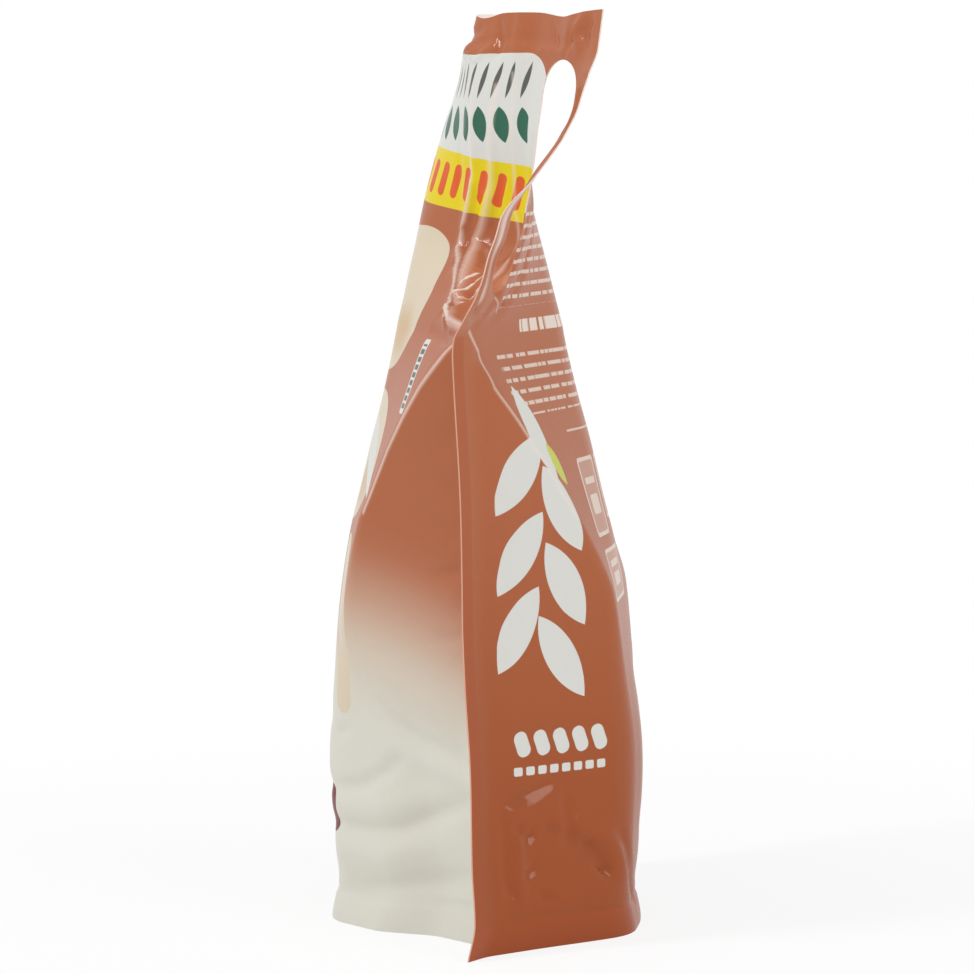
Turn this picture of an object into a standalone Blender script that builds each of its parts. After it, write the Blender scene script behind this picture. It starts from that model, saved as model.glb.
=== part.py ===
"""Stand-up refill pack for liquid hand soap: a filled, sealed pouch of laminated film.

Two film panels are sealed to each other along both sides and the top, and to a bottom film
that opens out under the weight of the soap, so the pack goes from a flat top seal to a full,
boat-shaped base.  One upper corner is sealed flat, cut with a slot for the fingers and swept
towards the back.  Width runs along X, front to back along Y, height along Z, in metres.
The origin is on the ground, under the middle of the pack.
"""
import bmesh
import bpy
import numpy as np

# Flat film
HEIGHT = 0.280
PANEL_WIDTH = 0.176
SIDE_SEAL = 0.0095
TOP_SEAL = 0.0075
FILM_PAIR = 0.0007

# Filled form
BELLY_DEPTH = 0.0985
BELLY_HEIGHT = 0.050
BASE_DEPTH = 0.0940
APEX_HEIGHT = 0.186
FACE_LEAST = 0.0082
FACET_ANGLE_APEX = 52.0
FACET_LEAST = 0.005
CREASE_RADIUS = 0.009
CREASE_BLEND = 0.002
MIDDLE_RADIUS = 0.012
ROOT_RADIUS = 0.002
SEAL_RADIUS = 0.003
FIN_LEAN = 28.0
FIN_SET_BACK = 0.0075
FORWARD_SAG = 0.005
FRONT_HOLLOW = 0.009

# Handle corner
HANDLE_SWEEP = 34.0
HANDLE_SET_BACK = 0.020
STRIP_TWIST = 21.0
SLOT_WIDTH = 0.021
SLOT_LENGTH = 0.069
SLOT_SIDE_STRIP = 0.0095
SLOT_TOP_STRIP = 0.014
SLOT_SEAL_BORDER = 0.007

# Base
SKIRT_WALL = 0.0010
SKIRT_RECESS = 0.006
GROOVE_WIDTH = 0.0145
BASE_FLAT_WIDTH = 0.050
TUNNEL_RISE = 0.008

# Grid
COLUMN_STEP = 0.0058
ROW_STEP = 0.0056
SKIRT_ROWS = (0.0, 0.0015, 0.004, 0.008)
RING_SHARES = (0.55, 1.0)
SHARP_ANGLE = 50.0

HALF_WIDTH = PANEL_WIDTH / 2
ROOT = HALF_WIDTH - SIDE_SEAL
SLOT_RADIUS = SLOT_WIDTH / 2
SLOT_MIDDLE = HALF_WIDTH - SLOT_SIDE_STRIP - SLOT_RADIUS
SLOT_TOP = HEIGHT - SLOT_TOP_STRIP
SLOT_BOTTOM = SLOT_TOP - SLOT_LENGTH
HANDLE_SEAL = SLOT_MIDDLE - SLOT_RADIUS - SLOT_SEAL_BORDER
STRIP_START = HALF_WIDTH - SLOT_SIDE_STRIP

# The front facet is the steepest one: its crease stands out from the fin by the crease's depth
# and the fin's own set-back, and the film leaves it this length beside the least face.
FRONT_CREASE = 0.905
FIN_SHARE_AT_BELLY = 0.8
FRONT_FALL = FRONT_CREASE * BELLY_DEPTH / 2 + FIN_SHARE_AT_BELLY * FIN_SET_BACK
FACET_ANGLE_BASE = np.degrees(np.arcsin(FRONT_FALL / (ROOT - FACE_LEAST)))


def curve(x, stations):
    """A smooth line through a few (place, value) stations, which never passes beyond them.

    Cubic stretches share the harmonic mean of the slopes on both sides, or run level at a turn.
    """
    place, value = np.asarray(stations, float).T
    step = np.diff(place)
    rise = np.diff(value) / step
    turns = rise[:-1] * rise[1:] <= 0
    shared = 2 * rise[:-1] * rise[1:] / np.where(turns, 1, rise[:-1] + rise[1:])
    slope = np.concatenate([rise[:1], np.where(turns, 0, shared), rise[-1:]])
    i = np.clip(np.searchsorted(place, x) - 1, 0, len(step) - 1)
    t = np.clip((x - place[i]) / step[i], 0.0, 1.0)
    start = (1 + 2 * t) * (1 - t) ** 2 * value[i] + t * (1 - t) ** 2 * step[i] * slope[i]
    end = t ** 2 * (3 - 2 * t) * value[i + 1] + t ** 2 * (t - 1) * step[i] * slope[i + 1]
    return start + end


def ramp(t, radius):
    """Zero before a bend and t after it, joined by a parabola over plus or minus radius."""
    inside = np.clip(t, -radius, radius)
    return np.where(t >= radius, t, (inside + radius) ** 2 / (4 * radius))


def ease(t):
    """A step from 0 to 1 with level ends."""
    t = np.clip(t, 0.0, 1.0)
    return t * t * (3 - 2 * t)


def level(z):
    """Height as 0 at the ground, 1 at the apex of the side facets, 2 at the top edge."""
    above = (z - APEX_HEIGHT) / (HEIGHT - APEX_HEIGHT)
    return np.where(z < APEX_HEIGHT, z / APEX_HEIGHT, 1 + above)


# Share of the half depth along the middle of a panel, by level, from the belly up.
TAPER = [(1.00, 0.555), (1.26, 0.43), (1.48, 0.32), (1.64, 0.215), (1.80, 0.105), (1.88, 0.075)]


def half_depth(z):
    """Half the depth of the pack along the middle of its panels."""
    belly = BELLY_DEPTH / 2
    foot = BASE_DEPTH / 2
    seal = 1 + (HEIGHT - TOP_SEAL - APEX_HEIGHT) / (HEIGHT - APEX_HEIGHT)
    low = [(0.0, foot), (0.08, foot), (BELLY_HEIGHT / APEX_HEIGHT, belly), (0.43, 0.945 * belly),
           (0.54, 0.90 * belly), (0.645, 0.84 * belly), (0.725, 0.775 * belly), (0.807, 0.71 * belly),
           (0.89, 0.635 * belly)]
    high = [(place, share * belly) for place, share in TAPER]
    return curve(level(z), low + high + [(seal, 0.0), (2.0, 0.0)])


def middle_offset(z):
    """How far the middle of the pack sags forward of its side seals."""
    return FORWARD_SAG * curve(level(z), [(0.0, -0.2), (0.3, -0.2), (0.55, -0.5), (0.8, -0.45), (1.0, -0.6),
                                          (1.4, -0.9), (1.85, -1.0), (2.0, -0.1)])


def corner_depth(z, side):
    """Half depth at the crease between a panel's face and its side facet: zero at the apex."""
    belly = BELLY_DEPTH / 2
    back = [(0.0, 0.93), (0.3, 0.945), (0.43, 0.915), (0.52, 0.885), (0.57, 0.855), (0.61, 0.80),
            (0.69, 0.66), (0.785, 0.475), (0.855, 0.325), (0.93, 0.15), (1.0, 0.0), (2.0, 0.0)]
    front = [(0.0, 0.90), (0.3, FRONT_CREASE), (0.43, 0.865), (0.52, 0.835), (0.59, 0.79), (0.68, 0.71),
             (0.73, 0.63), (0.81, 0.50), (0.92, 0.26), (0.968, 0.12), (1.0, 0.0), (2.0, 0.0)]
    return belly * curve(level(z), back if side > 0 else front)


def crease_radius(z):
    """The creases are sharp at the apex and open out towards the full base."""
    return curve(level(z), [(0.0, CREASE_RADIUS), (0.3, CREASE_RADIUS), (0.6, 0.5 * CREASE_RADIUS),
                            (1.0, 0.3 * CREASE_RADIUS), (2.0, CREASE_RADIUS)])


def facet_length(fall, z):
    """Length of film from a crease to the fin root: the facet's depth over the sine of its angle."""
    stations = [(0.0, FACET_ANGLE_BASE), (1.0, FACET_ANGLE_APEX), (2.0, FACET_ANGLE_APEX)]
    steepness = np.radians(curve(level(z), stations))
    return FACET_LEAST + ramp(fall / np.sin(steepness) - FACET_LEAST, FACET_LEAST / 2)


def seal_start(z):
    """Film coordinate where the two panels meet on the handle side."""
    between = HANDLE_SEAL + 0.57 * (ROOT - HANDLE_SEAL)
    return curve(level(z), [(0.0, ROOT), (0.98, ROOT), (1.12, between), (1.28, HANDLE_SEAL),
                            (2.0, HANDLE_SEAL)])


def seal_offset(z):
    """How far back the film lies at the start of the handle-side seal."""
    fin = [(0.0, 0.73), (0.06, 1.0), (0.15, 0.88), (0.3, FIN_SHARE_AT_BELLY), (0.45, 0.587), (0.55, 0.507),
           (0.7, 0.507), (0.98, 0.333)]
    handle = [(1.12, 0.45), (1.21, 0.63), (1.35, 0.825), (1.48, 0.86), (1.61, 0.83), (1.77, 0.89),
              (2.0, 1.0)]
    stations = [(place, share * FIN_SET_BACK) for place, share in fin]
    stations += [(place, share * HANDLE_SET_BACK) for place, share in handle]
    return curve(level(z), stations)


def seal_angle(z):
    """Direction of the sealed film in plan: leaning forward low down, swept back at the top."""
    lean = -FIN_LEAN
    top = HANDLE_SWEEP
    return np.radians(curve(level(z), [(0.0, lean), (0.97, lean), (1.04, 0.57 * lean), (1.15, 0.36 * lean),
                                       (1.28, 0.24 * lean), (1.35, 0.19 * lean), (1.48, 0.22 * top),
                                       (1.61, 0.77 * top), (1.72, 0.97 * top), (2.0, top)]))


def strip_turn(z):
    """How far the strip beside the slot is turned forward of the rest of the sealed film."""
    return -np.radians(STRIP_TWIST) * curve(level(z), [(0.0, 0.0), (1.15, 0.0), (1.28, 0.3), (1.40, 0.46),
                                                       (1.48, 0.25), (1.59, 0.9), (1.70, 1.0), (1.80, 0.55),
                                                       (1.88, 0.0), (2.0, 0.0)])


def panel_half(z, side, start, offset):
    """Half a panel in plan: place of its crease along the film, and X and depth of crease and seal.

    The film keeps its length, so each stretch's reach in X follows from its length and its depth.
    """
    face = half_depth(z)
    crease = corner_depth(z, side)
    length = facet_length(crease - side * offset, z)
    stop = start - length
    straight = face + (side * offset - face) * stop / start
    depth = straight + ramp(crease - straight, CREASE_BLEND)
    crease_x = np.sqrt(stop ** 2 - (face - depth) ** 2)
    seal_x = crease_x + np.sqrt(length ** 2 - (depth - side * offset) ** 2)
    return stop, crease_x, depth, seal_x


def section(s, z, side):
    """Plan of one panel at height z, from s across the flat film: a chain of bends.

    The film runs far edge, far root, far crease, middle, near crease, seal start, near edge.
    Each stretch between two of them is straight, and each bend is rounded by a parabola.
    """
    skin = side * FILM_PAIR / 2
    start = seal_start(z)
    offset = seal_offset(z)
    angle = seal_angle(z)
    halves = {way: panel_half(z, way, start, offset) for way in (-1, 1)}
    seal_x = (halves[-1][3] + halves[1][3]) / 2
    near_s, near_x, near_y, own_x = halves[side]
    near_x = near_x * seal_x / own_x
    halves = {way: panel_half(z, way, ROOT + 0 * z, 0 * z) for way in (-1, 1)}
    root_x = (halves[-1][3] + halves[1][3]) / 2
    far_s, far_x, far_y, own_x = halves[side]
    far_x = far_x * root_x / own_x
    middle = middle_offset(z)
    near_sag = middle * (1 - near_s / start)
    far_sag = middle * (1 - far_s / ROOT)

    stops = [-HALF_WIDTH + 0 * z, -ROOT + 0 * z, -far_s, 0 * z, near_s, start, HALF_WIDTH + 0 * z]
    reach = HALF_WIDTH - start
    points = [
        np.stack([-root_x - SIDE_SEAL, skin + 0 * z]),
        np.stack([-root_x, skin + 0 * z]),
        np.stack([-far_x, side * far_y + far_sag + skin]),
        np.stack([0 * z, side * half_depth(z) + middle + skin]),
        np.stack([near_x, side * near_y + near_sag + skin]),
        np.stack([seal_x, offset + skin]),
        np.stack([seal_x + np.cos(angle) * reach, offset + skin + np.sin(angle) * reach]),
    ]
    bend = crease_radius(z)
    radii = [ROOT_RADIUS, bend, MIDDLE_RADIUS, bend, SEAL_RADIUS]

    heading = (points[1] - points[0]) / SIDE_SEAL
    place = points[0] + heading * (s - stops[0])
    for i, radius in enumerate(radii, start=1):
        onward = (points[i + 1] - points[i]) / (stops[i + 1] - stops[i])
        room = 0.45 * np.minimum(stops[i] - stops[i - 1], stops[i + 1] - stops[i])
        place = place + (onward - heading) * ramp(s - stops[i], np.minimum(radius, room))
        heading = onward
    strip = angle + strip_turn(z)
    turn = np.stack([np.cos(strip) - np.cos(angle), np.sin(strip) - np.sin(angle)])
    return place + turn * ramp(s - STRIP_START, SEAL_RADIUS)


# Way of the hollow in plan: inwards and away from the fin.
HOLLOW_WAY = (-0.6, 0.8)


def front_hollow(s, z):
    """The front film falls in beside the near fin, low on the pack."""
    across = ease((s - 0.35 * ROOT) / (0.25 * ROOT)) * ease((ROOT - s) / (0.22 * ROOT))
    return FRONT_HOLLOW * across * ease(1 - z / (0.5 * APEX_HEIGHT))


def film_place(s, z, side):
    """World place of points of the flat film."""
    x, y = section(s, z, side)
    if side < 0:
        hollow = front_hollow(s, z)
        x = x + HOLLOW_WAY[0] * hollow
        y = y + HOLLOW_WAY[1] * hollow
    return np.stack([x, y, z], axis=-1)


def spread(start, end, step):
    """Evenly spaced values from start to end, about one step apart."""
    count = max(1, int(round((end - start) / step)))
    return np.linspace(start, end, count + 1)


def flat_blank():
    """The flat film with its slot: points (s, z), faces, outline rows and the slot's loop."""
    window = (HANDLE_SEAL + 0.5 * SLOT_SEAL_BORDER, HALF_WIDTH - 0.4 * SLOT_SIDE_STRIP)
    lowest = SLOT_BOTTOM - 0.9 * SLOT_SEAL_BORDER
    highest = SLOT_TOP + 0.4 * SLOT_TOP_STRIP
    columns = np.concatenate([
        [-HALF_WIDTH], spread(-ROOT, window[0], COLUMN_STEP), spread(window[0], ROOT, COLUMN_STEP)[1:],
        [window[1], HALF_WIDTH]])
    rows = np.concatenate([
        SKIRT_ROWS[:-1], spread(SKIRT_ROWS[-1], lowest, ROW_STEP), spread(lowest, highest, ROW_STEP)[1:],
        [HEIGHT - TOP_SEAL / 2, HEIGHT]])
    left = int(np.argmin(abs(columns - window[0])))
    right = int(np.argmin(abs(columns - window[1])))
    low = int(np.argmin(abs(rows - lowest)))
    high = int(np.argmin(abs(rows - highest)))

    points = []
    index = {}
    for j, z in enumerate(rows):
        for i, s in enumerate(columns):
            if left < i < right and low < j < high:
                continue
            index[i, j] = len(points)
            points.append((s, z))
    faces = []
    for j in range(len(rows) - 1):
        for i in range(len(columns) - 1):
            if left <= i < right and low <= j < high:
                continue
            faces.append([index[i, j], index[i + 1, j], index[i + 1, j + 1], index[i, j + 1]])

    rim = [(i, low) for i in range(left, right)] + [(right, j) for j in range(low, high)]
    rim += [(i, high) for i in range(right, left, -1)] + [(left, j) for j in range(high, low, -1)]
    ring = [index[key] for key in rim]
    for share in RING_SHARES:
        inner = []
        for i, j in rim:
            height = np.clip(rows[j], SLOT_BOTTOM + SLOT_RADIUS, SLOT_TOP - SLOT_RADIUS)
            axis = np.array([SLOT_MIDDLE, height])
            outer = np.array([columns[i], rows[j]])
            away = outer - axis
            edge = axis + away * SLOT_RADIUS / np.linalg.norm(away)
            inner.append(len(points))
            points.append(tuple(outer + (edge - outer) * share))
        for k in range(len(ring)):
            n = (k + 1) % len(ring)
            faces.append([ring[k], ring[n], inner[n], inner[k]])
        ring = inner

    last_row = len(rows) - 1
    last_column = len(columns) - 1
    outline = [index[last_column, j] for j in range(len(rows))]
    outline += [index[i, last_row] for i in range(last_column - 1, -1, -1)]
    outline += [index[0, j] for j in range(last_row - 1, -1, -1)]
    bottom = [index[i, 0] for i in range(len(columns))]
    return np.array(points), faces, outline, ring, bottom


# Groove behind the skirt: share of its width, and share of its height.
GROOVE = [(0.0, 0.0), (0.13, 1.0), (0.37, 0.72), (0.67, 0.25), (1.0, 0.0)]
# Insets are measured towards the other panel while it lies at least this far from edge-on.
LEAST_SLANT = 0.7
SLANT_STEP = 0.0005


def underside_lines(columns):
    """Lines of the underside, from the front skirt over the bottom film to the back skirt.

    Each line has a point for each of the columns, which are film coordinates.  The skirt's wall
    and the groove behind it follow the panel at their own height.  Where a panel runs aslant
    they reach further in, and where the skirts come closer than two grooves, towards the fins,
    all of it gets smaller.
    """
    ground = 0 * columns
    front, back = (film_place(columns, ground, side) for side in (-1, 1))
    across = back - front
    gap = np.linalg.norm(across, axis=1)
    rise = TUNNEL_RISE * ease((abs(columns) - BASE_FLAT_WIDTH / 2) / (ROOT - BASE_FLAT_WIDTH / 2))
    halves = []
    for side in (-1, 1):
        along = film_place(columns + SLANT_STEP, ground, side)
        along = along - film_place(columns - SLANT_STEP, ground, side)
        turned = abs(across[:, 0] * along[:, 1] - across[:, 1] * along[:, 0])
        slant = turned / (gap * np.linalg.norm(along, axis=1))
        reach = 1 / np.clip(slant / LEAST_SLANT, 0.4, 1.0)
        fit = np.clip(gap / (2.2 * GROOVE_WIDTH * reach), 0.0, 1.0)
        lines = []
        for place_in_groove, height in GROOVE:
            inset = SKIRT_WALL + place_in_groove * (GROOVE_WIDTH - SKIRT_WALL)
            lift = fit * (SKIRT_RECESS * height + rise * ease(inset / GROOVE_WIDTH))
            own = film_place(columns, lift, side)
            other = film_place(columns, lift, -side)
            place = own + (other - own) * (inset * reach * fit / gap)[:, None]
            place[:, 2] = lift
            lines.append(place)
        halves.append(lines)
    middle = (halves[0][-1] + halves[1][-1]) / 2
    return halves[0] + [middle] + halves[1][::-1]


def refill_pouch():
    """The whole sealed pack as one closed solid."""
    flat, faces, outline, slot, bottom = flat_blank()
    count = len(flat)
    layers = [film_place(flat[:, 0], flat[:, 1], side) for side in (-1, 1)]
    places = np.concatenate(layers)
    polygons = [list(face) for face in faces]
    polygons += [[k + count for k in reversed(face)] for face in faces]
    for loop in (outline, slot + slot[:1]):
        for a, b in zip(loop[:-1], loop[1:]):
            polygons.append([a, b, b + count, a + count])

    columns = flat[bottom, 0]
    inner = [k for k, s in enumerate(columns) if abs(s) < ROOT - SKIRT_WALL / 2]
    body = [bottom[k] for k in inner]
    lines = underside_lines(columns[inner])
    table = [body]
    for line in lines:
        first = len(places)
        places = np.concatenate([places, line])
        table.append(list(range(first, first + len(line))))
    table.append([k + count for k in body])
    for lower, upper in zip(table[:-1], table[1:]):
        for i in range(len(body) - 1):
            polygons.append([lower[i], lower[i + 1], upper[i + 1], upper[i]])
    for end, step in ((inner[0] - 1, 0), (inner[-1] + 1, -1)):
        front_root = bottom[end]
        back_root = front_root + count
        middle = len(table) // 2
        for lower, upper in zip(table[:middle], table[1:middle + 1]):
            polygons.append([lower[step], upper[step], front_root])
        polygons.append([table[middle][step], back_root, front_root])
        for lower, upper in zip(table[middle:-1], table[middle + 1:]):
            polygons.append([lower[step], upper[step], back_root])
    for k in list(range(inner[0] - 1)) + list(range(inner[-1] + 1, len(bottom) - 1)):
        a = bottom[k]
        b = bottom[k + 1]
        polygons.append([a, b, b + count, a + count])

    mesh = bpy.data.meshes.new("refill_pouch")
    mesh.from_pydata([tuple(p) for p in places], [], polygons)
    shape = bmesh.new()
    shape.from_mesh(mesh)
    bmesh.ops.triangulate(shape, faces=shape.faces[:])
    bmesh.ops.recalc_face_normals(shape, faces=shape.faces[:])
    shape.to_mesh(mesh)
    shape.free()
    mesh.shade_smooth()
    mesh.set_sharp_from_angle(angle=np.radians(SHARP_ANGLE))
    pouch = bpy.data.objects.new("refill_pouch", mesh)
    bpy.context.scene.collection.objects.link(pouch)
    return pouch


def laminate(name, colour, roughness):
    """Glossy printed film."""
    material = bpy.data.materials.new(name)
    material.use_nodes = True
    shader = material.node_tree.nodes["Principled BSDF"]
    shader.inputs["Base Color"].default_value = (*colour, 1.0)
    shader.inputs["Roughness"].default_value = roughness
    shader.inputs["Metallic"].default_value = 0.0
    return material


def main():
    for old in list(bpy.data.objects):
        bpy.data.objects.remove(old)
    pouch = refill_pouch()
    pouch.data.materials.append(laminate("laminated_film", (0.43, 0.14, 0.075), 0.28))


main()
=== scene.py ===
# %% [markdown]
# # A refill pack of liquid hand soap
# The pack is two printed film panels and a bottom film, sealed to each other and filled. Film
# bends but does not stretch, so the whole look follows from one flat sheet: where it is sealed,
# where it is creased, and how far the soap pushes it out. The CAD frame is loaded first, so
# that the film lies where the solid lies.

# %% Load the frame
import bmesh
import bpy
import numpy as np
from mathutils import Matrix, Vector


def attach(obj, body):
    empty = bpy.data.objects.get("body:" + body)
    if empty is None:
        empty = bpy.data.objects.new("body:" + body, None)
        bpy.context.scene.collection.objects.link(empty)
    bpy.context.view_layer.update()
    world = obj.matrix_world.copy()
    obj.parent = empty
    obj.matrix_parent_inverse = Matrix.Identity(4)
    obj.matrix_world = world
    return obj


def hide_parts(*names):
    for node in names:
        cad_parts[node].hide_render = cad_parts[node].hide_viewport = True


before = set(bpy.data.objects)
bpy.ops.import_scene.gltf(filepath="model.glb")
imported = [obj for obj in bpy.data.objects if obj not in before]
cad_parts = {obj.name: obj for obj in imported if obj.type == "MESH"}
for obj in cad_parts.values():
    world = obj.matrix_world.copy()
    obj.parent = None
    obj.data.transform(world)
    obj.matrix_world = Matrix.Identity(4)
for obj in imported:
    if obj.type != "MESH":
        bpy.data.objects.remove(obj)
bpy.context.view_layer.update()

# %% [markdown]
# ## Sizes
# The same driving sizes as the solid has, in metres, but with a thinner film. `s` runs across
# the flat film from its middle, and `z` runs up it, so a place on the print has the same two
# numbers as a place on the pack.

# %% Sizes of the flat film and the filled form
HEIGHT = 0.280
PANEL_WIDTH = 0.176
SIDE_SEAL = 0.0095
TOP_SEAL = 0.0075
FILM_PAIR = 0.0004
BELLY_DEPTH = 0.0985
BELLY_HEIGHT = 0.050
BASE_DEPTH = 0.0940
APEX_HEIGHT = 0.186
FACE_LEAST = 0.0082
FACET_ANGLE_APEX = 52.0
FACET_LEAST = 0.005
CREASE_RADIUS = 0.009
CREASE_BLEND = 0.002
MIDDLE_RADIUS = 0.012
ROOT_RADIUS = 0.002
SEAL_RADIUS = 0.003
FIN_LEAN = 28.0
FIN_SET_BACK = 0.0075
FORWARD_SAG = 0.005
FRONT_HOLLOW = 0.009
HANDLE_SWEEP = 34.0
HANDLE_SET_BACK = 0.020
STRIP_TWIST = 21.0
SLOT_WIDTH = 0.021
SLOT_LENGTH = 0.069
SLOT_SIDE_STRIP = 0.0095
SLOT_TOP_STRIP = 0.014
SLOT_SEAL_BORDER = 0.007
SKIRT_WALL = 0.0010
SKIRT_RECESS = 0.006
GROOVE_WIDTH = 0.0145
BASE_FLAT_WIDTH = 0.050
TUNNEL_RISE = 0.008

HALF_WIDTH = PANEL_WIDTH / 2
ROOT = HALF_WIDTH - SIDE_SEAL
SLOT_RADIUS = SLOT_WIDTH / 2
SLOT_MIDDLE = HALF_WIDTH - SLOT_SIDE_STRIP - SLOT_RADIUS
SLOT_TOP = HEIGHT - SLOT_TOP_STRIP
SLOT_BOTTOM = SLOT_TOP - SLOT_LENGTH
HANDLE_SEAL = SLOT_MIDDLE - SLOT_RADIUS - SLOT_SEAL_BORDER
STRIP_START = HALF_WIDTH - SLOT_SIDE_STRIP
# At the belly: depth of the front creases, and set-back of the fins, as shares of the full ones.
FRONT_CREASE = 0.905
FIN_SHARE_AT_BELLY = 0.8
FRONT_FALL = FRONT_CREASE * BELLY_DEPTH / 2 + FIN_SHARE_AT_BELLY * FIN_SET_BACK
FACET_ANGLE_BASE = np.degrees(np.arcsin(FRONT_FALL / (ROOT - FACE_LEAST)))
print("handle slot from", round(SLOT_BOTTOM, 4), "to", round(SLOT_TOP, 4), "m up the film")

# %% [markdown]
# ## Four small curves
# Every form here is made of these: a smooth line through a few stations, a bend rounded by a
# parabola, a soft step and a bell. Splines through many points could do it too, but few stations
# are easier to read and to change.

# %% Curves


def curve(x, stations):
    """A smooth line through a few (place, value) stations, which never passes beyond them.

    Cubic stretches share the harmonic mean of the slopes on both sides, or run level at a turn.
    """
    place, value = np.asarray(stations, float).T
    step = np.diff(place)
    rise = np.diff(value) / step
    turns = rise[:-1] * rise[1:] <= 0
    shared = 2 * rise[:-1] * rise[1:] / np.where(turns, 1, rise[:-1] + rise[1:])
    slope = np.concatenate([rise[:1], np.where(turns, 0, shared), rise[-1:]])
    i = np.clip(np.searchsorted(place, x) - 1, 0, len(step) - 1)
    t = np.clip((x - place[i]) / step[i], 0.0, 1.0)
    start = (1 + 2 * t) * (1 - t) ** 2 * value[i] + t * (1 - t) ** 2 * step[i] * slope[i]
    end = t ** 2 * (3 - 2 * t) * value[i + 1] + t ** 2 * (t - 1) * step[i] * slope[i + 1]
    return start + end


def ramp(t, radius):
    """Zero before a bend and t after it, joined by the parabola (t + radius)^2 / (4 radius)."""
    inside = np.clip(t, -radius, radius)
    return np.where(t >= radius, t, (inside + radius) ** 2 / (4 * radius))


def ease(t):
    """A step from 0 to 1 with level ends: 3 t^2 - 2 t^3."""
    t = np.clip(t, 0.0, 1.0)
    return t * t * (3 - 2 * t)


def bell(x, middle, width):
    """A smooth hump of height 1: exp(-((x - middle) / width)^2)."""
    return np.exp(-((x - middle) / width) ** 2)


def level(z):
    """Height as 0 at the ground, 1 at the apex of the side facets, 2 at the top edge."""
    above = (z - APEX_HEIGHT) / (HEIGHT - APEX_HEIGHT)
    return np.where(z < APEX_HEIGHT, z / APEX_HEIGHT, 1 + above)


print("level of the slot's ends:", level(np.array([SLOT_BOTTOM, SLOT_TOP])).round(3))

# %% [markdown]
# ## How full the pack is
# These functions of height say how deep the pack is in the middle, how deep at its creases, and
# where the handle-side seal starts and points. Together they are the filled shape. A cloth
# simulation with pressure could find a like shape, but not this one: which corner swings back
# and how the facets fall is what this pack did when it was filled and handled.

# %% Profiles over height
TAPER = [(1.00, 0.555), (1.26, 0.43), (1.48, 0.32), (1.64, 0.215), (1.80, 0.105), (1.88, 0.075)]


def half_depth(z):
    """Half the depth along the middle of the panels: widest at the belly, nothing at the top seal."""
    belly = BELLY_DEPTH / 2
    foot = BASE_DEPTH / 2
    seal = 1 + (HEIGHT - TOP_SEAL - APEX_HEIGHT) / (HEIGHT - APEX_HEIGHT)
    low = [(0.0, foot), (0.08, foot), (BELLY_HEIGHT / APEX_HEIGHT, belly), (0.43, 0.945 * belly),
           (0.54, 0.90 * belly), (0.645, 0.84 * belly), (0.725, 0.775 * belly), (0.807, 0.71 * belly),
           (0.89, 0.635 * belly)]
    high = [(place, share * belly) for place, share in TAPER]
    return curve(level(z), low + high + [(seal, 0.0), (2.0, 0.0)])


def middle_offset(z):
    """How far the middle of the pack sags forward of its side seals."""
    return FORWARD_SAG * curve(level(z), [(0.0, -0.2), (0.3, -0.2), (0.55, -0.5), (0.8, -0.45), (1.0, -0.6),
                                          (1.4, -0.9), (1.85, -1.0), (2.0, -0.1)])


def corner_depth(z, side):
    """Half depth at the crease between a panel's face and its side facet: zero at the apex."""
    belly = BELLY_DEPTH / 2
    back = [(0.0, 0.93), (0.3, 0.945), (0.43, 0.915), (0.52, 0.885), (0.57, 0.855), (0.61, 0.80),
            (0.69, 0.66), (0.785, 0.475), (0.855, 0.325), (0.93, 0.15), (1.0, 0.0), (2.0, 0.0)]
    front = [(0.0, 0.90), (0.3, FRONT_CREASE), (0.43, 0.865), (0.52, 0.835), (0.59, 0.79), (0.68, 0.71),
             (0.73, 0.63), (0.81, 0.50), (0.92, 0.26), (0.968, 0.12), (1.0, 0.0), (2.0, 0.0)]
    return belly * curve(level(z), back if side > 0 else front)


def crease_radius(z):
    """The creases are sharp at the apex and open out towards the full base."""
    return curve(level(z), [(0.0, CREASE_RADIUS), (0.3, CREASE_RADIUS), (0.6, 0.36 * CREASE_RADIUS),
                            (0.85, 0.18 * CREASE_RADIUS), (1.0, 0.14 * CREASE_RADIUS), (2.0, CREASE_RADIUS)])


def facet_length(fall, z):
    """Length of film from a crease to the fin root: the facet's depth over the sine of its angle."""
    stations = [(0.0, FACET_ANGLE_BASE), (1.0, FACET_ANGLE_APEX), (2.0, FACET_ANGLE_APEX)]
    steepness = np.radians(curve(level(z), stations))
    return FACET_LEAST + ramp(fall / np.sin(steepness) - FACET_LEAST, FACET_LEAST / 2)


def seal_start(z):
    """Film coordinate where the two panels meet on the handle side."""
    between = HANDLE_SEAL + 0.57 * (ROOT - HANDLE_SEAL)
    return curve(level(z), [(0.0, ROOT), (0.98, ROOT), (1.12, between), (1.28, HANDLE_SEAL),
                            (2.0, HANDLE_SEAL)])


def seal_offset(z):
    """How far back the film lies at the start of the handle-side seal."""
    fin = [(0.0, 0.73), (0.06, 1.0), (0.15, 0.88), (0.3, FIN_SHARE_AT_BELLY), (0.45, 0.587), (0.55, 0.507),
           (0.7, 0.507), (0.98, 0.333)]
    handle = [(1.12, 0.45), (1.21, 0.63), (1.35, 0.825), (1.48, 0.86), (1.61, 0.83), (1.77, 0.89),
              (2.0, 1.0)]
    stations = [(place, share * FIN_SET_BACK) for place, share in fin]
    stations += [(place, share * HANDLE_SET_BACK) for place, share in handle]
    return curve(level(z), stations)


def seal_angle(z):
    """Direction of the sealed film in plan: leaning forward low down, swept back at the top."""
    lean = -FIN_LEAN
    top = HANDLE_SWEEP
    return np.radians(curve(level(z), [(0.0, lean), (0.97, lean), (1.04, 0.57 * lean), (1.15, 0.36 * lean),
                                       (1.28, 0.24 * lean), (1.35, 0.19 * lean), (1.48, 0.22 * top),
                                       (1.61, 0.77 * top), (1.72, 0.97 * top), (2.0, top)]))


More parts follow.
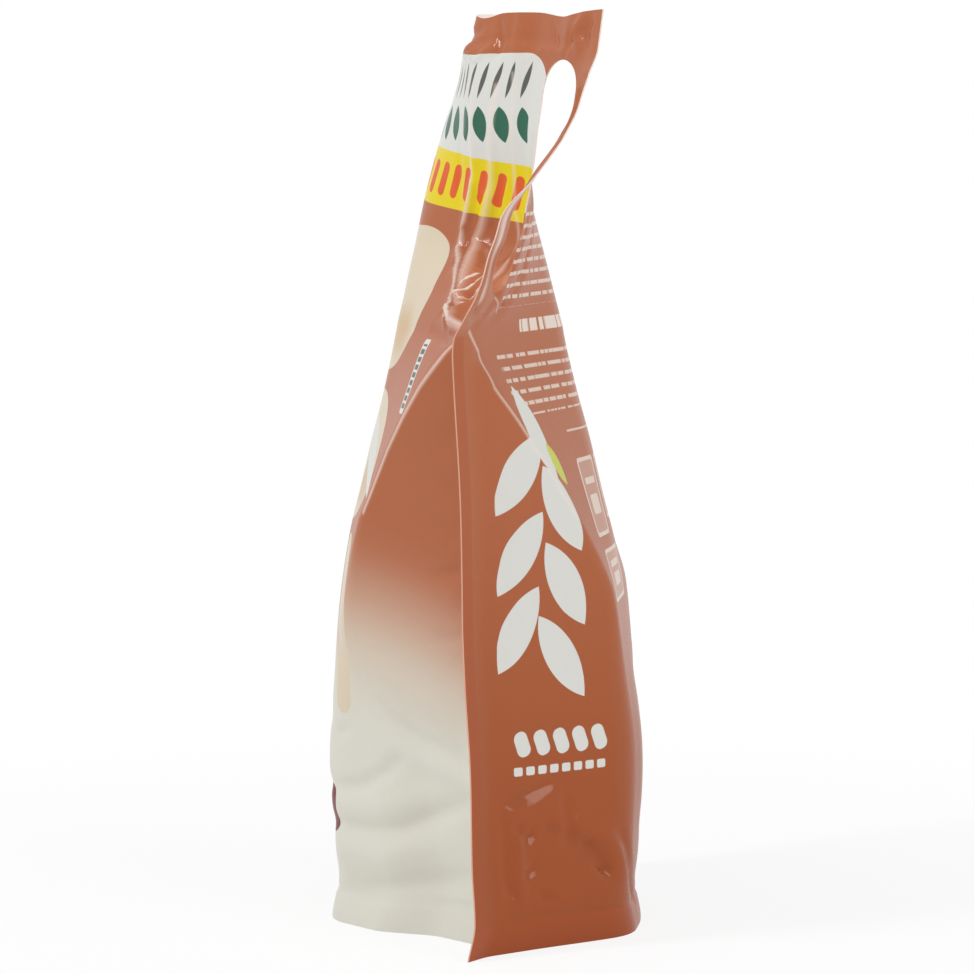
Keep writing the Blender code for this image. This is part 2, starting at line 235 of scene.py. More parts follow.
def strip_turn(z):
    """How far the strip beside the slot is turned forward of the rest of the sealed film."""
    return -np.radians(STRIP_TWIST) * curve(level(z), [(0.0, 0.0), (1.15, 0.0), (1.28, 0.3), (1.40, 0.46),
                                                       (1.48, 0.25), (1.59, 0.9), (1.70, 1.0), (1.80, 0.55),
                                                       (1.88, 0.0), (2.0, 0.0)])


for height in (0.0, 0.1, 0.186, 0.25):
    print("depth at", height, "m is", round(2 * float(half_depth(np.array([height]))[0]), 4), "m")

# %% [markdown]
# ## From flat film to filled pack
# Seen from above, a panel at one height is a chain: far edge, far root, far crease, middle, near
# crease, start of the seal, near edge. Stretches are straight and keep their length, and each
# bend is rounded. That keeps the print its true width everywhere, which a sculpted surface
# would not.

# %% The section and the film's place


def panel_half(z, side, start, offset):
    """Half a panel in plan: place of its crease along the film, and X and depth of crease and seal.

    The film keeps its length, so each stretch's reach in X follows from its length and its depth.
    """
    face = half_depth(z)
    crease = corner_depth(z, side)
    length = facet_length(crease - side * offset, z)
    stop = start - length
    straight = face + (side * offset - face) * stop / start
    depth = straight + ramp(crease - straight, CREASE_BLEND)
    crease_x = np.sqrt(stop ** 2 - (face - depth) ** 2)
    seal_x = crease_x + np.sqrt(length ** 2 - (depth - side * offset) ** 2)
    return stop, crease_x, depth, seal_x


def section(s, z, side):
    """Plan of one panel at height z, from s across the flat film: a chain of bends.

    The film runs far edge, far root, far crease, middle, near crease, seal start, near edge.
    Each stretch between two of them is straight, and each bend is rounded by a parabola.
    """
    skin = side * FILM_PAIR / 2
    start = seal_start(z)
    offset = seal_offset(z)
    angle = seal_angle(z)
    halves = {way: panel_half(z, way, start, offset) for way in (-1, 1)}
    seal_x = (halves[-1][3] + halves[1][3]) / 2
    near_s, near_x, near_y, own_x = halves[side]
    near_x = near_x * seal_x / own_x
    halves = {way: panel_half(z, way, ROOT + 0 * z, 0 * z) for way in (-1, 1)}
    root_x = (halves[-1][3] + halves[1][3]) / 2
    far_s, far_x, far_y, own_x = halves[side]
    far_x = far_x * root_x / own_x
    middle = middle_offset(z)
    near_sag = middle * (1 - near_s / start)
    far_sag = middle * (1 - far_s / ROOT)

    stops = [-HALF_WIDTH + 0 * z, -ROOT + 0 * z, -far_s, 0 * z, near_s, start, HALF_WIDTH + 0 * z]
    reach = HALF_WIDTH - start
    points = [
        np.stack([-root_x - SIDE_SEAL, skin + 0 * z]),
        np.stack([-root_x, skin + 0 * z]),
        np.stack([-far_x, side * far_y + far_sag + skin]),
        np.stack([0 * z, side * half_depth(z) + middle + skin]),
        np.stack([near_x, side * near_y + near_sag + skin]),
        np.stack([seal_x, offset + skin]),
        np.stack([seal_x + np.cos(angle) * reach, offset + skin + np.sin(angle) * reach]),
    ]
    bend = crease_radius(z)
    radii = [ROOT_RADIUS, bend, MIDDLE_RADIUS, bend, SEAL_RADIUS]

    heading = (points[1] - points[0]) / SIDE_SEAL
    place = points[0] + heading * (s - stops[0])
    for i, radius in enumerate(radii, start=1):
        onward = (points[i + 1] - points[i]) / (stops[i + 1] - stops[i])
        room = 0.45 * np.minimum(stops[i] - stops[i - 1], stops[i + 1] - stops[i])
        place = place + (onward - heading) * ramp(s - stops[i], np.minimum(radius, room))
        heading = onward
    strip = angle + strip_turn(z)
    turn = np.stack([np.cos(strip) - np.cos(angle), np.sin(strip) - np.sin(angle)])
    return place + turn * ramp(s - STRIP_START, SEAL_RADIUS)


# Way of the hollow in plan: inwards and away from the fin.
HOLLOW_WAY = (-0.6, 0.8)


def front_hollow(s, z):
    """The front film falls in beside the near fin, low on the pack."""
    across = ease((s - 0.35 * ROOT) / (0.25 * ROOT)) * ease((ROOT - s) / (0.22 * ROOT))
    return FRONT_HOLLOW * across * ease(1 - z / (0.5 * APEX_HEIGHT))


def film_place(s, z, side):
    """World place of points of the flat film."""
    x, y = section(s, z, side)
    if side < 0:
        hollow = front_hollow(s, z)
        x = x + HOLLOW_WAY[0] * hollow
        y = y + HOLLOW_WAY[1] * hollow
    return np.stack([x, y, z], axis=-1)


print("near edge at the apex:", film_place(np.array([HALF_WIDTH]), np.array([APEX_HEIGHT]), -1).round(4))

# %% [markdown]
# ## Small folds
# A filled pouch is never smooth: the film keeps soft rolls where the panels sag, sharp creases
# that run together at the apex, and little dents from handling. Each is a ridge or a valley
# along a short path on the flat film, so it is a real form and not only bump. All folds fade
# out before the seals, where both films move as one.

# %% Folds of each panel, in millimetres on the flat film
MM = 0.001
FRONT_FOLDS = [
    # Creases that run from the apex up beside the handle
    (((79, 187), (56, 190), (48, 194), (41, 200), (34, 204), (27, 210), (26, 218), (29, 230)), 1.3, 1.9),
    (((29, 222), (30, 240), (28, 262)), 1.2, 0.7),
    (((78, 187), (64, 188), (56, 194), (46, 201), (37, 207), (33, 212), (35, 225)), 2.4, 2.6),
    (((35, 218), (37, 236), (38, 260)), 1.4, 0.8),
    (((76, 188), (58, 190), (44, 198), (32, 206), (29, 214), (31, 226)), 1.6, -1.6),
    (((78, 188), (66, 191), (54, 198), (44, 206), (39, 216), (40, 230)), 1.8, -1.5),
    (((79, 189), (68, 193), (58, 200), (50, 210)), 1.8, 1.9),
    (((44, 233), (41, 225), (38, 215)), 0.9, 0.7),
    (((22, 250), (21, 236), (23, 222)), 1.6, -0.7),
    # Crumpled film just above the apex
    (((50, 205), (54, 198), (51, 193), (55, 188)), 1.1, 1.5),
    (((54, 203), (58, 196), (55, 191), (60, 187)), 1.1, -1.2),
    (((46, 202), (50, 196), (47, 191)), 1.1, -1.1),
    (((60, 199), (60, 192), (65, 187)), 1.1, 1.3),
    (((64, 196), (67, 191), (72, 187)), 1.0, -0.9),
    (((72, 187), (60, 184), (44, 186)), 1.3, -0.8),
    # Puckers beside the fin
    (((76, 117), (68, 114), (60, 113)), 1.8, -0.8),
    (((76, 97), (68, 94), (60, 94)), 1.8, -0.8),
    (((77, 136), (70, 135)), 1.6, -0.5),
    (((77, 158), (71, 156)), 1.4, -0.5),
    # Rolls of the low front, where the film sags over the base
    (((12, 88), (20, 81), (26, 73), (33, 66), (46, 60), (64, 57)), 3.8, -1.5),
    (((28, 88), (44, 76), (64, 68)), 4.5, 0.7),
    (((34, 58), (50, 53), (66, 50)), 4.0, 0.6),
    (((9, 58), (17, 62)), 1.8, -0.9),
    (((-2, 42), (10, 42), (21, 44), (31, 49), (37, 54)), 2.6, -1.4),
    (((8, 36), (30, 39), (48, 45)), 3.6, 0.7),
    (((0, 30), (9, 30), (23, 30), (36, 32), (46, 37), (64, 44)), 3.0, -1.7),
    (((6, 22), (30, 23), (54, 31)), 4.0, 0.8),
    (((8, 10), (22, 11.5), (38, 15), (64, 21)), 3.6, -1.4),
    (((-88, 10), (-20, 9), (30, 9.5), (86, 11)), 1.1, -0.45),
    # The far half
    (((-78, 187), (-60, 194), (-44, 210)), 1.6, 1.0),
    (((-77, 187), (-52, 190), (-34, 204)), 1.6, -0.9),
    (((-76, 186), (-60, 185), (-46, 188)), 1.4, -0.7),
    (((-70, 72), (-45, 62), (-20, 60), (0, 64)), 4.0, -1.5),
    (((-66, 48), (-40, 44), (-16, 46)), 4.0, 0.9),
    (((-64, 34), (-35, 28), (-8, 29)), 3.4, -1.5),
    (((-8, 232), (-30, 222), (-60, 226)), 5.0, -0.8),
]
BACK_FOLDS = [
    # From the apex up beside the handle
    (((74, 198), (77, 192), (80, 187)), 1.6, -0.9),
    (((72, 201), (62, 207), (48, 214), (30, 232)), 2.0, 0.9),
    (((76, 190), (60, 192), (40, 202), (20, 222)), 1.8, -0.9),
    # Puckers beside the fin
    (((85, 103), (79, 95), (70, 92)), 1.6, -0.8),
    (((48, 103), (46, 95)), 0.9, -0.4),
    (((78, 140), (70, 137)), 1.6, -0.6),
    (((78, 121), (71, 119)), 1.4, -0.5),
    # The pressed field of the base
    (((87, 50), (76, 47), (65, 47), (54, 51)), 2.2, -1.7),
    (((84, 44), (70, 41), (56, 44)), 2.8, 0.3),
    (((74, 45), (73.5, 30), (73, 13)), 1.4, -1.5),
    (((69, 42), (68, 30), (67, 14)), 2.2, 0.9),
    (((50, 47), (48, 31)), 2.2, -1.0),
    (((28, 32), (16, 18), (4, 6)), 2.4, -1.3),
    (((50, 33), (38, 26), (31, 19)), 2.6, -1.6),
    (((54, 39), (38, 34), (24, 24)), 3.4, 1.1),
    (((69, 39), (66, 35)), 1.2, -1.4),
    (((65, 33), (62, 36)), 1.2, -1.3),
    (((58, 37), (53, 35)), 1.2, -1.2),
    (((43, 31), (39, 29)), 1.1, -1.2),
    (((36, 23), (32, 20)), 1.1, -1.2),
    (((61, 17), (55, 15)), 1.1, -1.1),
    (((72, 21), (70, 16)), 1.2, -1.2),
    (((66, 22), (61, 26)), 1.4, -0.9),
    (((86, 12), (53, 10), (13, 8.5), (-30, 9), (-88, 10)), 1.2, -0.6),
    # The far half
    (((-78, 187), (-60, 193), (-46, 208)), 1.6, 0.9),
    (((-77, 187), (-56, 189), (-36, 200)), 1.6, -0.8),
    (((-66, 84), (-40, 74), (-12, 76)), 4.0, -1.3),
    (((-74, 47), (-52, 50), (-30, 48)), 2.4, -1.1),
    (((-60, 36), (-30, 30), (-4, 32)), 3.4, -1.1),
]
PAIR_FOLDS = [
    (((79, 244), (77, 226), (74, 212), (68, 200), (58, 193)), 2.2, 1.5),
    (((80, 188), (72, 192), (64, 197)), 1.3, 1.1),
    (((79, 188), (66, 191), (57, 199), (55, 212)), 1.2, -1.0),
    (((77, 188), (62, 194), (53, 205), (52, 222)), 1.2, 1.0),
    (((76, 190), (69, 195)), 0.9, -0.7),
    (((80, 190), (82, 200), (81, 212)), 1.2, 0.7),
    (((85, 192), (86, 206), (85, 222)), 1.4, -0.5),
    (((-86, 272.3), (-40, 272.6), (10, 272.2), (86, 272)), 0.8, -0.4),
    (((48, 267), (58, 269), (76, 268)), 1.3, 0.6),
    (((12, 271), (18, 267), (22, 271), (27, 266), (33, 270)), 1.1, 1.1),
    (((34, 278), (37, 271), (35, 262)), 1.2, -1.2),
    (((14, 276), (20, 274), (26, 277)), 1.1, -1.0),
    (((78, 279), (75, 274), (78, 269)), 1.3, 1.4),
    (((82, 278), (80, 273), (82, 268)), 1.2, -1.1),
    (((72, 276), (70, 268)), 1.1, -0.9),
    (((60, 277), (64, 270)), 1.1, -0.5),
    (((-30, 278), (-34, 268)), 1.3, 0.7),
    (((-66, 279), (-62, 270)), 1.3, -0.7),
]


def distance_to_path(s, z, path):
    """Least distance from each point to a chain of straight stretches, and the share run along it."""
    best = np.full(s.shape, 1e9)
    along = np.zeros(s.shape)
    for k, (a, b) in enumerate(zip(path[:-1], path[1:])):
        ax, az = a
        run = np.array(b) - np.array(a)
        t = np.clip(((s - ax) * run[0] + (z - az) * run[1]) / (run @ run), 0, 1)
        gap = np.hypot(s - ax - t * run[0], z - az - t * run[1])
        nearer = gap < best
        best = np.where(nearer, gap, best)
        along = np.where(nearer, (k + t) / (len(path) - 1), along)
    return best, along


def raised_paths(s, z, paths):
    """Height of folds along paths: height x exp(-(distance / width)^2), fading at both ends."""
    total = np.zeros(s.shape)
    for path, width, height in paths:
        gap, along = distance_to_path(s / MM, z / MM, path)
        fade = 0.35 + 0.65 * np.sin(np.pi * np.clip(along, 0, 1)) ** 0.7
        total += MM * height * fade * bell(gap, 0, width)
    return total


# Heights of puckers and ripples, place and width of the puckers, and their fades up the film.
PUCKER_HEIGHT = 0.0003
PUCKER_PLACE = ROOT - 0.0075
PUCKER_WIDTH = 0.005
PUCKER_FADE_LOW = 0.03
PUCKER_FADE_HIGH = 0.02
RIPPLE_HEIGHT = 0.00028
# Lengths over which folds fade out beside each seal, and over which the sealed folds set in.
FADE_AT_SIDES = 0.012
FADE_AT_TOP = 0.010
FADE_AT_SKIRT = 0.004
SEALED_FADE = 0.006


def puckers(s, z, side):
    """Puckers of the film beside the fins: a sine up the film, of a slowly changing pitch."""
    beside_fin = bell(abs(s), PUCKER_PLACE, PUCKER_WIDTH)
    between = ease(z / PUCKER_FADE_LOW) * ease((APEX_HEIGHT - z) / PUCKER_FADE_HIGH)
    return PUCKER_HEIGHT * np.sin(z / 0.0026 + 2.5 * np.sin(z / 0.019) + side) * beside_fin * between


def ripples(s, z, side):
    """Faint unevenness of the whole film: a sine across it times one up it, each bent by another."""
    across = np.sin(s / 0.017 + 2.1 * np.sin(z / 0.031))
    up = np.sin(z / 0.023 + 1.3 * np.sin(s / 0.027) + side)
    return RIPPLE_HEIGHT * across * up


def folds(s, z, side):
    """Outward height of the folds, puckers and ripples of one panel, which fade towards its seals."""
    total = raised_paths(s, z, FRONT_FOLDS if side < 0 else BACK_FOLDS)
    total += puckers(s, z, side) + ripples(s, z, side)
    free = ease((seal_start(z) - s) / FADE_AT_SIDES) * ease((ROOT + s) / FADE_AT_SIDES)
    free = free * ease((HEIGHT - TOP_SEAL - z) / FADE_AT_TOP)
    return total * free * ease((z - SKIRT_RECESS) / FADE_AT_SKIRT)


def pair_folds(s, z):
    """Height of the folds of sealed film, towards the front: both films move as one."""
    past_start = ease((s - seal_start(z) + SEALED_FADE) / SEALED_FADE)
    in_top_band = ease((z - HEIGHT + TOP_SEAL + FADE_AT_TOP) / SEALED_FADE)
    return raised_paths(s, z, PAIR_FOLDS) * np.maximum(past_start, in_top_band)


print(len(FRONT_FOLDS), "folds on the front panel and", len(BACK_FOLDS), "on the back")

# %% [markdown]
# ## The sealed rim
# Heat seals leave a band of two films as one. The top band is wavy and dips where the films
# were pulled, and a sharp crease runs down it beside the handle. Both films get the same
# shift there, so that the seal keeps its thickness. At the ground the skirt stands out a little.

# %% Waves of the sealed film: middle across the film, width and height of each, in metres
TOP_WAVES = [(0.020, 0.0045, -0.0012), (0.031, 0.0040, 0.0010), (0.072, 0.0060, -0.0012)]
TOP_DIPS = [(0.026, 0.006, 0.0015), (0.066, 0.011, 0.0017)]
HANDLE_CREASE = [(0.0445, 0.0028, 0.0014)]
FAR_WAVE_HEIGHT = 0.0009
FAR_WAVE_LENGTH = 0.009
# How far under the top edge the waves and the crease begin.
WAVES_BEGIN = 0.018
CREASE_BEGINS = 0.028
# The skirt at the ground and at its seal: how far it moves out and in.
FLARE_OUT = 0.0014
SEAL_IN = 0.0007
SEAL_IN_HEIGHT = 0.013
FLARE_END = 0.062
NORMAL_STEP = 0.0004


def bells(s, shapes):
    """Sum of bells across the film."""
    return sum(height * bell(s, middle, width) for middle, width, height in shapes)


def rim_shift(s, z):
    """Shift in Y and Z of sealed film: creases as narrow bells across s, growing towards the top."""
    top = ease((z - HEIGHT + WAVES_BEGIN) / 0.016)
    upper = ease((z - HEIGHT + CREASE_BEGINS) / 0.020)
    far_wave = FAR_WAVE_HEIGHT * np.sin(s / FAR_WAVE_LENGTH) * ease(-s / 0.01)
    backward = (bells(s, TOP_WAVES) + far_wave) * top - bells(s, HANDLE_CREASE) * upper
    return backward, -bells(s, TOP_DIPS) * top


def skirt_flare(s, z):
    """The skirt stands out a little under its seal: a bell at the ground less one at the seal."""
    outward = FLARE_OUT * bell(z, 0, 0.006) - SEAL_IN * bell(z, SEAL_IN_HEIGHT, 0.005)
    return outward * ease((FLARE_END - abs(s)) / 0.03)


def shaped_film(s, z, side):
    """Place of the film with its folds, each raised along the smooth film's own normal.

    The normal is the cross product of two small steps, one across the film and one up it.
    """
    step = NORMAL_STEP
    place = film_place(s, z, side)
    across = film_place(s + step, z, side) - film_place(s - step, z, side)
    up = film_place(s, np.minimum(z + step, HEIGHT), side) - film_place(s, np.maximum(z - step, 0), side)
    normal = np.cross(across, up) * -side
    normal /= np.linalg.norm(normal, axis=1, keepdims=True)
    place = place + normal * (folds(s, z, side) - side * pair_folds(s, z))[:, None]
    shift_y, shift_z = rim_shift(s, z)
    place[:, 1] += shift_y + side * skirt_flare(s, z)
    place[:, 2] += shift_z
    return place


belly = np.array([BELLY_HEIGHT])
print("film at the belly's middle:", shaped_film(0 * belly, belly, -1)[0].round(4))

# %% [markdown]
# ## The film as a mesh
# One flat sheet of squares is laid out first, with a ring of squares closing in on the rounded
# slot. It is used twice, for the front and the back film, and the two are joined along the
# outline and around the slot. Cutting a finished mesh would leave ragged faces at the slot,
# while a ring keeps its edge clean.

# %% The flat sheet with its slot
NEAR_STEP = 0.0011
FAR_STEP = 0.0020
ROW_STEP = 0.0012
RING_SHARES = (0.2, 0.4, 0.6, 0.8, 0.93, 1.0)
# Room for the ring of squares below and above the slot.
ROOM_BELOW_SLOT = 0.0065
ROOM_ABOVE_SLOT = 0.0055


def spread(start, end, step):
    """Evenly spaced values from start to end, about one step apart."""
    return np.linspace(start, end, max(1, int(round((end - start) / step))) + 1)


def spread_over(edges, steps):
    """Values that meet every edge, and lie about one step apart between two edges."""
    stretches = [spread(*stretch) for stretch in zip(edges[:-1], edges[1:], steps)]
    return np.concatenate([stretches[0]] + [stretch[1:] for stretch in stretches[1:]])


def squares(table):
    """Corner numbers of the squares of a table of point numbers."""
    return np.stack([table[:-1, :-1], table[:-1, 1:], table[1:, 1:], table[1:, :-1]], axis=-1).reshape(-1, 4)


def flat_sheet():
    """Points (s, z), squares, the outline from foot to foot, the slot's loop and the bottom row."""
    window = (HANDLE_SEAL + 0.5 * SLOT_SEAL_BORDER, HALF_WIDTH - 0.4 * SLOT_SIDE_STRIP)
    lowest = SLOT_BOTTOM - ROOM_BELOW_SLOT
    highest = SLOT_TOP + ROOM_ABOVE_SLOT
    columns = spread_over([-HALF_WIDTH, -ROOT, 0, window[0], ROOT, window[1], HALF_WIDTH],
                          [FAR_STEP] * 2 + [NEAR_STEP] * 4)
    rows = spread_over([0, lowest, highest, HEIGHT], [ROW_STEP] * 3)
    left, right = (int(np.argmin(abs(columns - edge))) for edge in window)
    low, high = (int(np.argmin(abs(rows - edge))) for edge in (lowest, highest))
    table = np.arange(len(rows) * len(columns)).reshape(len(rows), len(columns))
    points = np.stack(np.meshgrid(columns, rows), axis=-1).reshape(-1, 2)
    faces = squares(table)
    middle = points[faces].mean(axis=1)
    inside = (middle[:, 0] > columns[left]) & (middle[:, 0] < columns[right])
    inside &= (middle[:, 1] > rows[low]) & (middle[:, 1] < rows[high])
    faces = faces[~inside]

    rim = np.concatenate([table[low, left:right], table[low:high, right],
                          table[high, right:left:-1], table[high:low:-1, left]])
    outer = points[rim]
    axis_z = np.clip(outer[:, 1], SLOT_BOTTOM + SLOT_RADIUS, SLOT_TOP - SLOT_RADIUS)
    axis = np.stack([np.full(len(rim), SLOT_MIDDLE), axis_z], axis=1)
    away = outer - axis
    edge = axis + away * (SLOT_RADIUS / np.linalg.norm(away, axis=1))[:, None]
    rings = [rim]
    for share in RING_SHARES:
        rings.append(np.arange(len(points), len(points) + len(rim)))
        points = np.concatenate([points, outer + (edge - outer) * share])
    ring_table = np.stack([np.append(ring, ring[0]) for ring in rings])
    faces = np.concatenate([faces, squares(ring_table)])

    used, renumbered = np.unique(faces, return_inverse=True)
    faces = renumbered.reshape(-1, 4)
    number = np.full(len(points), -1)
    number[used] = np.arange(len(used))
    outline = number[np.concatenate([table[:, -1], table[-1, -2::-1], table[-2::-1, 0]])]
    return points[used], faces, outline, number[rings[-1]], number[table[0]]


sheet, sheet_faces, sheet_outline, slot_loop, foot_row = flat_sheet()
print("flat sheet:", len(sheet), "points,", len(sheet_faces), "squares")

# %% [markdown]
# ## The bottom film
# Under the pack a third film is folded in and sealed to the skirt. From below it shows a thin
# standing rim, a groove behind it, and the flat middle that carries the weight. It rises
# towards both sides, where it is pinched into the fins.

# %% Lines of the bottom film
# Groove behind the skirt: share of its width, and share of its height.
GROOVE = [(0.0, 0.0), (0.06, 0.62), (0.13, 1.0), (0.24, 0.93), (0.37, 0.72), (0.52, 0.46), (0.67, 0.25),
          (0.83, 0.08), (1.0, 0.0)]
# Insets are measured towards the other panel while it lies at least this far from edge-on.
LEAST_SLANT = 0.7
SLANT_STEP = 0.0005


def bottom_lines(columns):
    """Lines of the underside, from the front skirt over the bottom film to the back skirt.

    The skirt's wall and its groove follow the panel at their own height: own place + (other
    panel's place - own place) x inset / gap. Where a panel runs aslant they reach further in.
    """
    ground = 0 * columns
    front, back = (shaped_film(columns, ground, side) for side in (-1, 1))
    across = back - front
    gap = np.linalg.norm(across, axis=1)
    rise = TUNNEL_RISE * ease((abs(columns) - BASE_FLAT_WIDTH / 2) / (ROOT - BASE_FLAT_WIDTH / 2))
    halves = []
    for side in (-1, 1):
        along = shaped_film(columns + SLANT_STEP, ground, side)
        along = along - shaped_film(columns - SLANT_STEP, ground, side)
        turned = abs(across[:, 0] * along[:, 1] - across[:, 1] * along[:, 0])
        slant = turned / (gap * np.linalg.norm(along, axis=1))
        reach = 1 / np.clip(slant / LEAST_SLANT, 0.4, 1.0)
        fit = np.clip(gap / (2.2 * GROOVE_WIDTH * reach), 0.0, 1.0)
        lines = []
        for place_in_groove, height in GROOVE:
            inset = SKIRT_WALL + place_in_groove * (GROOVE_WIDTH - SKIRT_WALL)
            lift = fit * (SKIRT_RECESS * height + rise * ease(inset / GROOVE_WIDTH))
            own = shaped_film(columns, lift, side)
            other = shaped_film(columns, lift, -side)
            place = own + (other - own) * (inset * reach * fit / gap)[:, None]
            place[:, 2] = lift
            lines.append(place)
        halves.append(lines)
    middle = (halves[0][-1] + halves[1][-1]) / 2
    return np.stack(halves[0] + [middle] + halves[1][::-1])


# %% Put the whole film together
FILM_MAP_SCALE = 10
PRINT_FRONT, PRINT_BACK, CUT_EDGE, BOTTOM_FILM = range(4)


def strip_between(a, b):
    """Squares between two rows of point numbers of equal length."""
    return squares(np.stack([a, b]))


def pouch_film():
    """The pack's film as one closed mesh, with the flat film's own coordinates as its UV map."""
    count = len(sheet)
    front = shaped_film(sheet[:, 0], sheet[:, 1], -1)
    back = shaped_film(sheet[:, 0], sheet[:, 1], 1)
    flat = np.concatenate([sheet, sheet])
    places = np.concatenate([front, back])
    groups = [(sheet_faces, PRINT_FRONT), (sheet_faces[:, ::-1] + count, PRINT_BACK)]
    groups.append((strip_between(sheet_outline, sheet_outline + count), CUT_EDGE))
    closed_slot = np.append(slot_loop, slot_loop[0])
    groups.append((strip_between(closed_slot, closed_slot + count), CUT_EDGE))

    foot_s = sheet[foot_row, 0]
    body = np.flatnonzero(abs(foot_s) < ROOT - 1e-6)
    lines = bottom_lines(foot_s[body])
    first = len(places)
    table = np.arange(first, first + lines.shape[0] * lines.shape[1]).reshape(lines.shape[:2])
    places = np.concatenate([places, lines.reshape(-1, 3)])
    flat = np.concatenate([flat, np.tile(np.stack([foot_s[body], 0 * body], axis=1), (len(lines), 1))])
    table = np.concatenate([[foot_row[body]], table, [foot_row[body] + count]])
    groups.append((squares(table), BOTTOM_FILM))
    half = len(table) // 2
    triangles = []
    for end, column in ((body[0] - 1, 0), (body[-1] + 1, -1)):
        root_front = foot_row[end]
        root_back = root_front + count
        ring = table[:, column]
        to_root = np.concatenate([np.full(half, root_front), np.full(len(ring) - 1 - half, root_back)])
        triangles.append(np.stack([ring[:-1], ring[1:], to_root], axis=1))
        triangles.append(np.array([[ring[half], root_back, root_front]]))
    fins = [foot_row[:body[0]], foot_row[body[-1] + 1:]]
    for fin in fins:
        groups.append((strip_between(fin, fin + count), CUT_EDGE))

    faces = [face for group, _ in groups for face in group.tolist()]
    finish = np.concatenate([np.full(len(group), slot) for group, slot in groups])
    extra = np.concatenate(triangles).tolist()
    finish = np.concatenate([finish, np.full(len(extra), BOTTOM_FILM)])
    mesh = bpy.data.meshes.new("pouch_film")
    mesh.from_pydata(places.tolist(), [], faces + extra)
    mesh.polygons.foreach_set("material_index", finish.astype(np.int32))
    corner_points = np.empty(len(mesh.loops), dtype=np.int32)
    mesh.loops.foreach_get("vertex_index", corner_points)
    film_map = mesh.uv_layers.new(name="film")
    film_map.data.foreach_set("uv", (flat[corner_points] * FILM_MAP_SCALE).astype(np.float32).ravel())
    piece = bpy.data.objects.new("pouch_film", mesh)
    bpy.context.scene.collection.objects.link(piece)
    return piece


film = pouch_film()
print("pouch_film:", len(film.data.vertices), "points,", len(film.data.polygons), "faces")

# %% [markdown]
# ## One closed skin
# The film is a skin around the soap, so all its faces must point outwards and no edge may be
# open. Smooth shading then hides the squares, and stays sharp at the cut edges. The piece
# takes the place of the solid in the frame.

# %% Point every face outwards and shade it smooth
SHARP_ANGLE = 55.0

shell = bmesh.new()
shell.from_mesh(film.data)
bmesh.ops.recalc_face_normals(shell, faces=shell.faces[:])
open_edges = sum(not edge.is_manifold for edge in shell.edges)
volume = shell.calc_volume(signed=True)
shell.to_mesh(film.data)
shell.free()
film.data.shade_smooth()
film.data.set_sharp_from_angle(angle=np.radians(SHARP_ANGLE))
print("open edges:", open_edges, "- volume in litres:", round(volume * 1000, 3))
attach(film, "root")
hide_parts("refill_pouch")

# %% [markdown]
# ## Inks
# The print is drawn by nodes on the flat film's coordinates, in millimetres. Two shapes do
# nearly all of it: a patch with round corners and a petal, which is where two discs overlap.
# They are node groups, so that each can be placed many times. An image would be quicker, but
# shapes stay sharp at any size.

# %% Colour helper and node helper


def ink(red, green, blue):
    """A printed colour, given as 0-255 on screen, as the linear values that shaders take."""
    value = np.array([red, green, blue]) / 255
    linear = np.where(value <= 0.04045, value / 12.92, ((value + 0.055) / 1.055) ** 2.4)
    return (*linear.tolist(), 1.0)


def put(tree, kind, inputs=(), **settings):
    """Adds a node, sets its properties, and fills its input sockets in order with links or values."""
    node = tree.nodes.new(kind)
    for name, value in settings.items():
        setattr(node, name, value)
    for socket, value in zip(node.inputs, inputs):
        if value is None:
            continue
        if isinstance(value, bpy.types.NodeSocket):
            tree.links.new(value, socket)
        else:
            socket.default_value = value
    return node


def sum_of(tree, operation, *inputs):
    """Result socket of one Math node."""
    return put(tree, "ShaderNodeMath", inputs, operation=operation).outputs[0]


def vector_of(tree, operation, *inputs):
    """Result socket of one Vector Math node."""
    node = put(tree, "ShaderNodeVectorMath", inputs, operation=operation)
    return node.outputs["Value"] if operation == "LENGTH" else node.outputs[0]


def new_group(name, inputs, outputs):
    """A shader node group with named sockets: its tree, its input node and its output node."""
    tree = bpy.data.node_groups.new(name, "ShaderNodeTree")
    for label, kind in inputs:
        tree.interface.new_socket(label, in_out="INPUT", socket_type=kind)
    for label, kind in outputs:
        tree.interface.new_socket(label, in_out="OUTPUT", socket_type=kind)
    return tree, tree.nodes.new("NodeGroupInput"), tree.nodes.new("NodeGroupOutput")


print("a mid grey in linear values:", round(ink(128, 128, 128)[0], 3))

# %% Groups: a patch with round corners, a petal, and cells in a row


